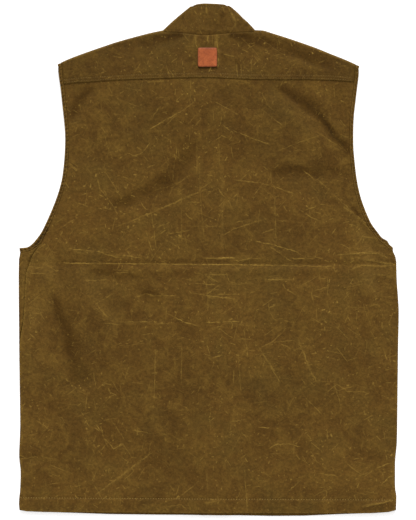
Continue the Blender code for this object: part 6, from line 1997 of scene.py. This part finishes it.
def make_floor():
    """A plain pale floor, a little below the vest."""
    mesh = bpy.data.meshes.new("floor")
    turns = ((-1, -1), (1, -1), (1, 1), (-1, 1))
    corners = [(across * FLOOR_REACH, up * FLOOR_REACH, 0.0) for across, up in turns]
    mesh.from_pydata(corners, [], [(0, 1, 2, 3)])
    floor = bpy.data.objects.new("floor", mesh)
    floor.location.z = FLOOR_Z
    bpy.context.scene.collection.objects.link(floor)
    mesh.materials.append(floor_material())


def make_light(name, location, spread, strength):
    """A broad soft light that falls evenly from one side."""
    data = bpy.data.lights.new(name, "SUN")
    data.angle = spread
    data.energy = strength
    lamp = bpy.data.objects.new(name, data)
    lamp.location = location
    lamp.rotation_euler = (-mathutils.Vector(location)).to_track_quat("-Z", "Y").to_euler()
    bpy.context.scene.collection.objects.link(lamp)


def make_camera():
    """The camera, straight above, as in the photograph."""
    data = bpy.data.cameras.new("camera")
    data.sensor_fit = "VERTICAL"
    data.sensor_height = 36.0
    data.sensor_width = 36.0
    data.lens = LENS
    data.clip_end = 20.0
    camera = bpy.data.objects.new("camera", data)
    camera.location = CAMERA_PLACE
    bpy.context.scene.collection.objects.link(camera)
    bpy.context.scene.camera = camera


def hem_stitch_line(grid):
    """The points of the back panel that lie along its hem's stitch row."""
    points = []
    for column in range(grid.shape[1]):
        y = grid[:, column, 1]
        x = grid[:, column, 0]
        below = y - hem_line(x)
        j = int(np.argmin(np.abs(below)))
        k = min(max(j + (1 if below[j] < 0 else -1), 0), len(y) - 1)
        share = below[j] / (below[j] - below[k]) if below[j] != below[k] else 0.0
        points.append(mix(grid[j, column], grid[k, column], np.clip(share, 0.0, 1.0)))
    return points


canvas = canvas_material("waxed_canvas", 0.0, with_lines=True)
front_canvas = canvas_material("waxed_canvas_fronts", 3.1)
yoke_canvas = canvas_material("waxed_canvas_yoke", 10.9, 0.86, with_lines=True)
collar_canvas = canvas_material("waxed_canvas_collar", 5.7, 0.9)
binding_canvas = canvas_material("waxed_canvas_binding", 8.3, 0.93)
leather = leather_material()
metal = metal_material()
thread = thread_material("sewing_thread", (0.1, 0.058, 0.015, 1.0), (0.22, 0.136, 0.036, 1.0))
hem_thread = thread_material("hem_thread", (0.2, 0.125, 0.03, 1.0), (0.36, 0.24, 0.07, 1.0))


def sew(name, points, normal=(0.0, 0.0, 1.0)):
    return stitch_row(name, points, STITCH_PITCH, STITCH_LENGTH, STITCH_RADIUS, thread, normal)


back, back_grid = make_back(canvas)
front_left, left_grid = make_front(-1, "front_left_canvas", "front_left", front_canvas)
front_right, right_grid = make_front(1, "front_right_canvas", "front_right", front_canvas)
yoke, yoke_lines = make_yoke(yoke_canvas)
collar, collar_line = make_collar(collar_canvas)
placket, placket_lines = make_placket(front_canvas)
bindings = {}
for side, name in ((-1, "armhole_binding_left"), (1, "armhole_binding_right")):
    bindings[side] = make_binding(side, name + "_canvas", name, binding_canvas)
patch = make_patch(leather)

hem_points = [p for p in hem_stitch_line(back_grid) if p[2] > 2.5]
back_sewing = stitch_row(
    "back_hem_stitches", hem_points, HEM_PITCH, HEM_LENGTH, HEM_RADIUS, hem_thread
)
yoke_sewing = [sew(f"yoke_stitches_{k}", line) for k, line in enumerate(yoke_lines, start=1)]
collar_normals = np.where((collar_line[:, 2] > 3.0)[:, None], (0.0, 0.0, 1.0), (0.0, 0.0, -1.0))
collar_sewing = sew("collar_stitches", collar_line, collar_normals)
placket_sewing = [
    sew(f"placket_stitches_{k}", line, (0.0, 0.0, -1.0)) for k, line in enumerate(placket_lines, start=1)
]
for side, name in ((-1, "binding_stitches_left"), (1, "binding_stitches_right")):
    sew(name, bindings[side][1], bindings[side][2])
for name, grid in (("front_left_hem_stitches", left_grid), ("front_right_hem_stitches", right_grid)):
    line = [p for p in hem_stitch_line(grid) if p[2] < 2.5 and abs(p[0]) > 18.0]
    sew(name, line, (0.0, 0.0, -1.0))

for name in ("snap_cap_1", "snap_cap_2", "snap_cap_3", "snap_cap_4", "snap_cap_5", "snap_cap_6"):
    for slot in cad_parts[name].material_slots:
        slot.material = metal

make_floor()
make_camera()
make_light("key", (0.15, 2.1, 1.3), 0.4, KEY_STRENGTH)
world = bpy.data.worlds.new("studio")
bpy.context.scene.world = world
world.use_nodes = True
world.node_tree.nodes["Background"].inputs["Color"].default_value = (1.0, 1.0, 1.0, 1.0)
world.node_tree.nodes["Background"].inputs["Strength"].default_value = SKY_STRENGTH
bpy.context.scene.view_settings.view_transform = "Standard"
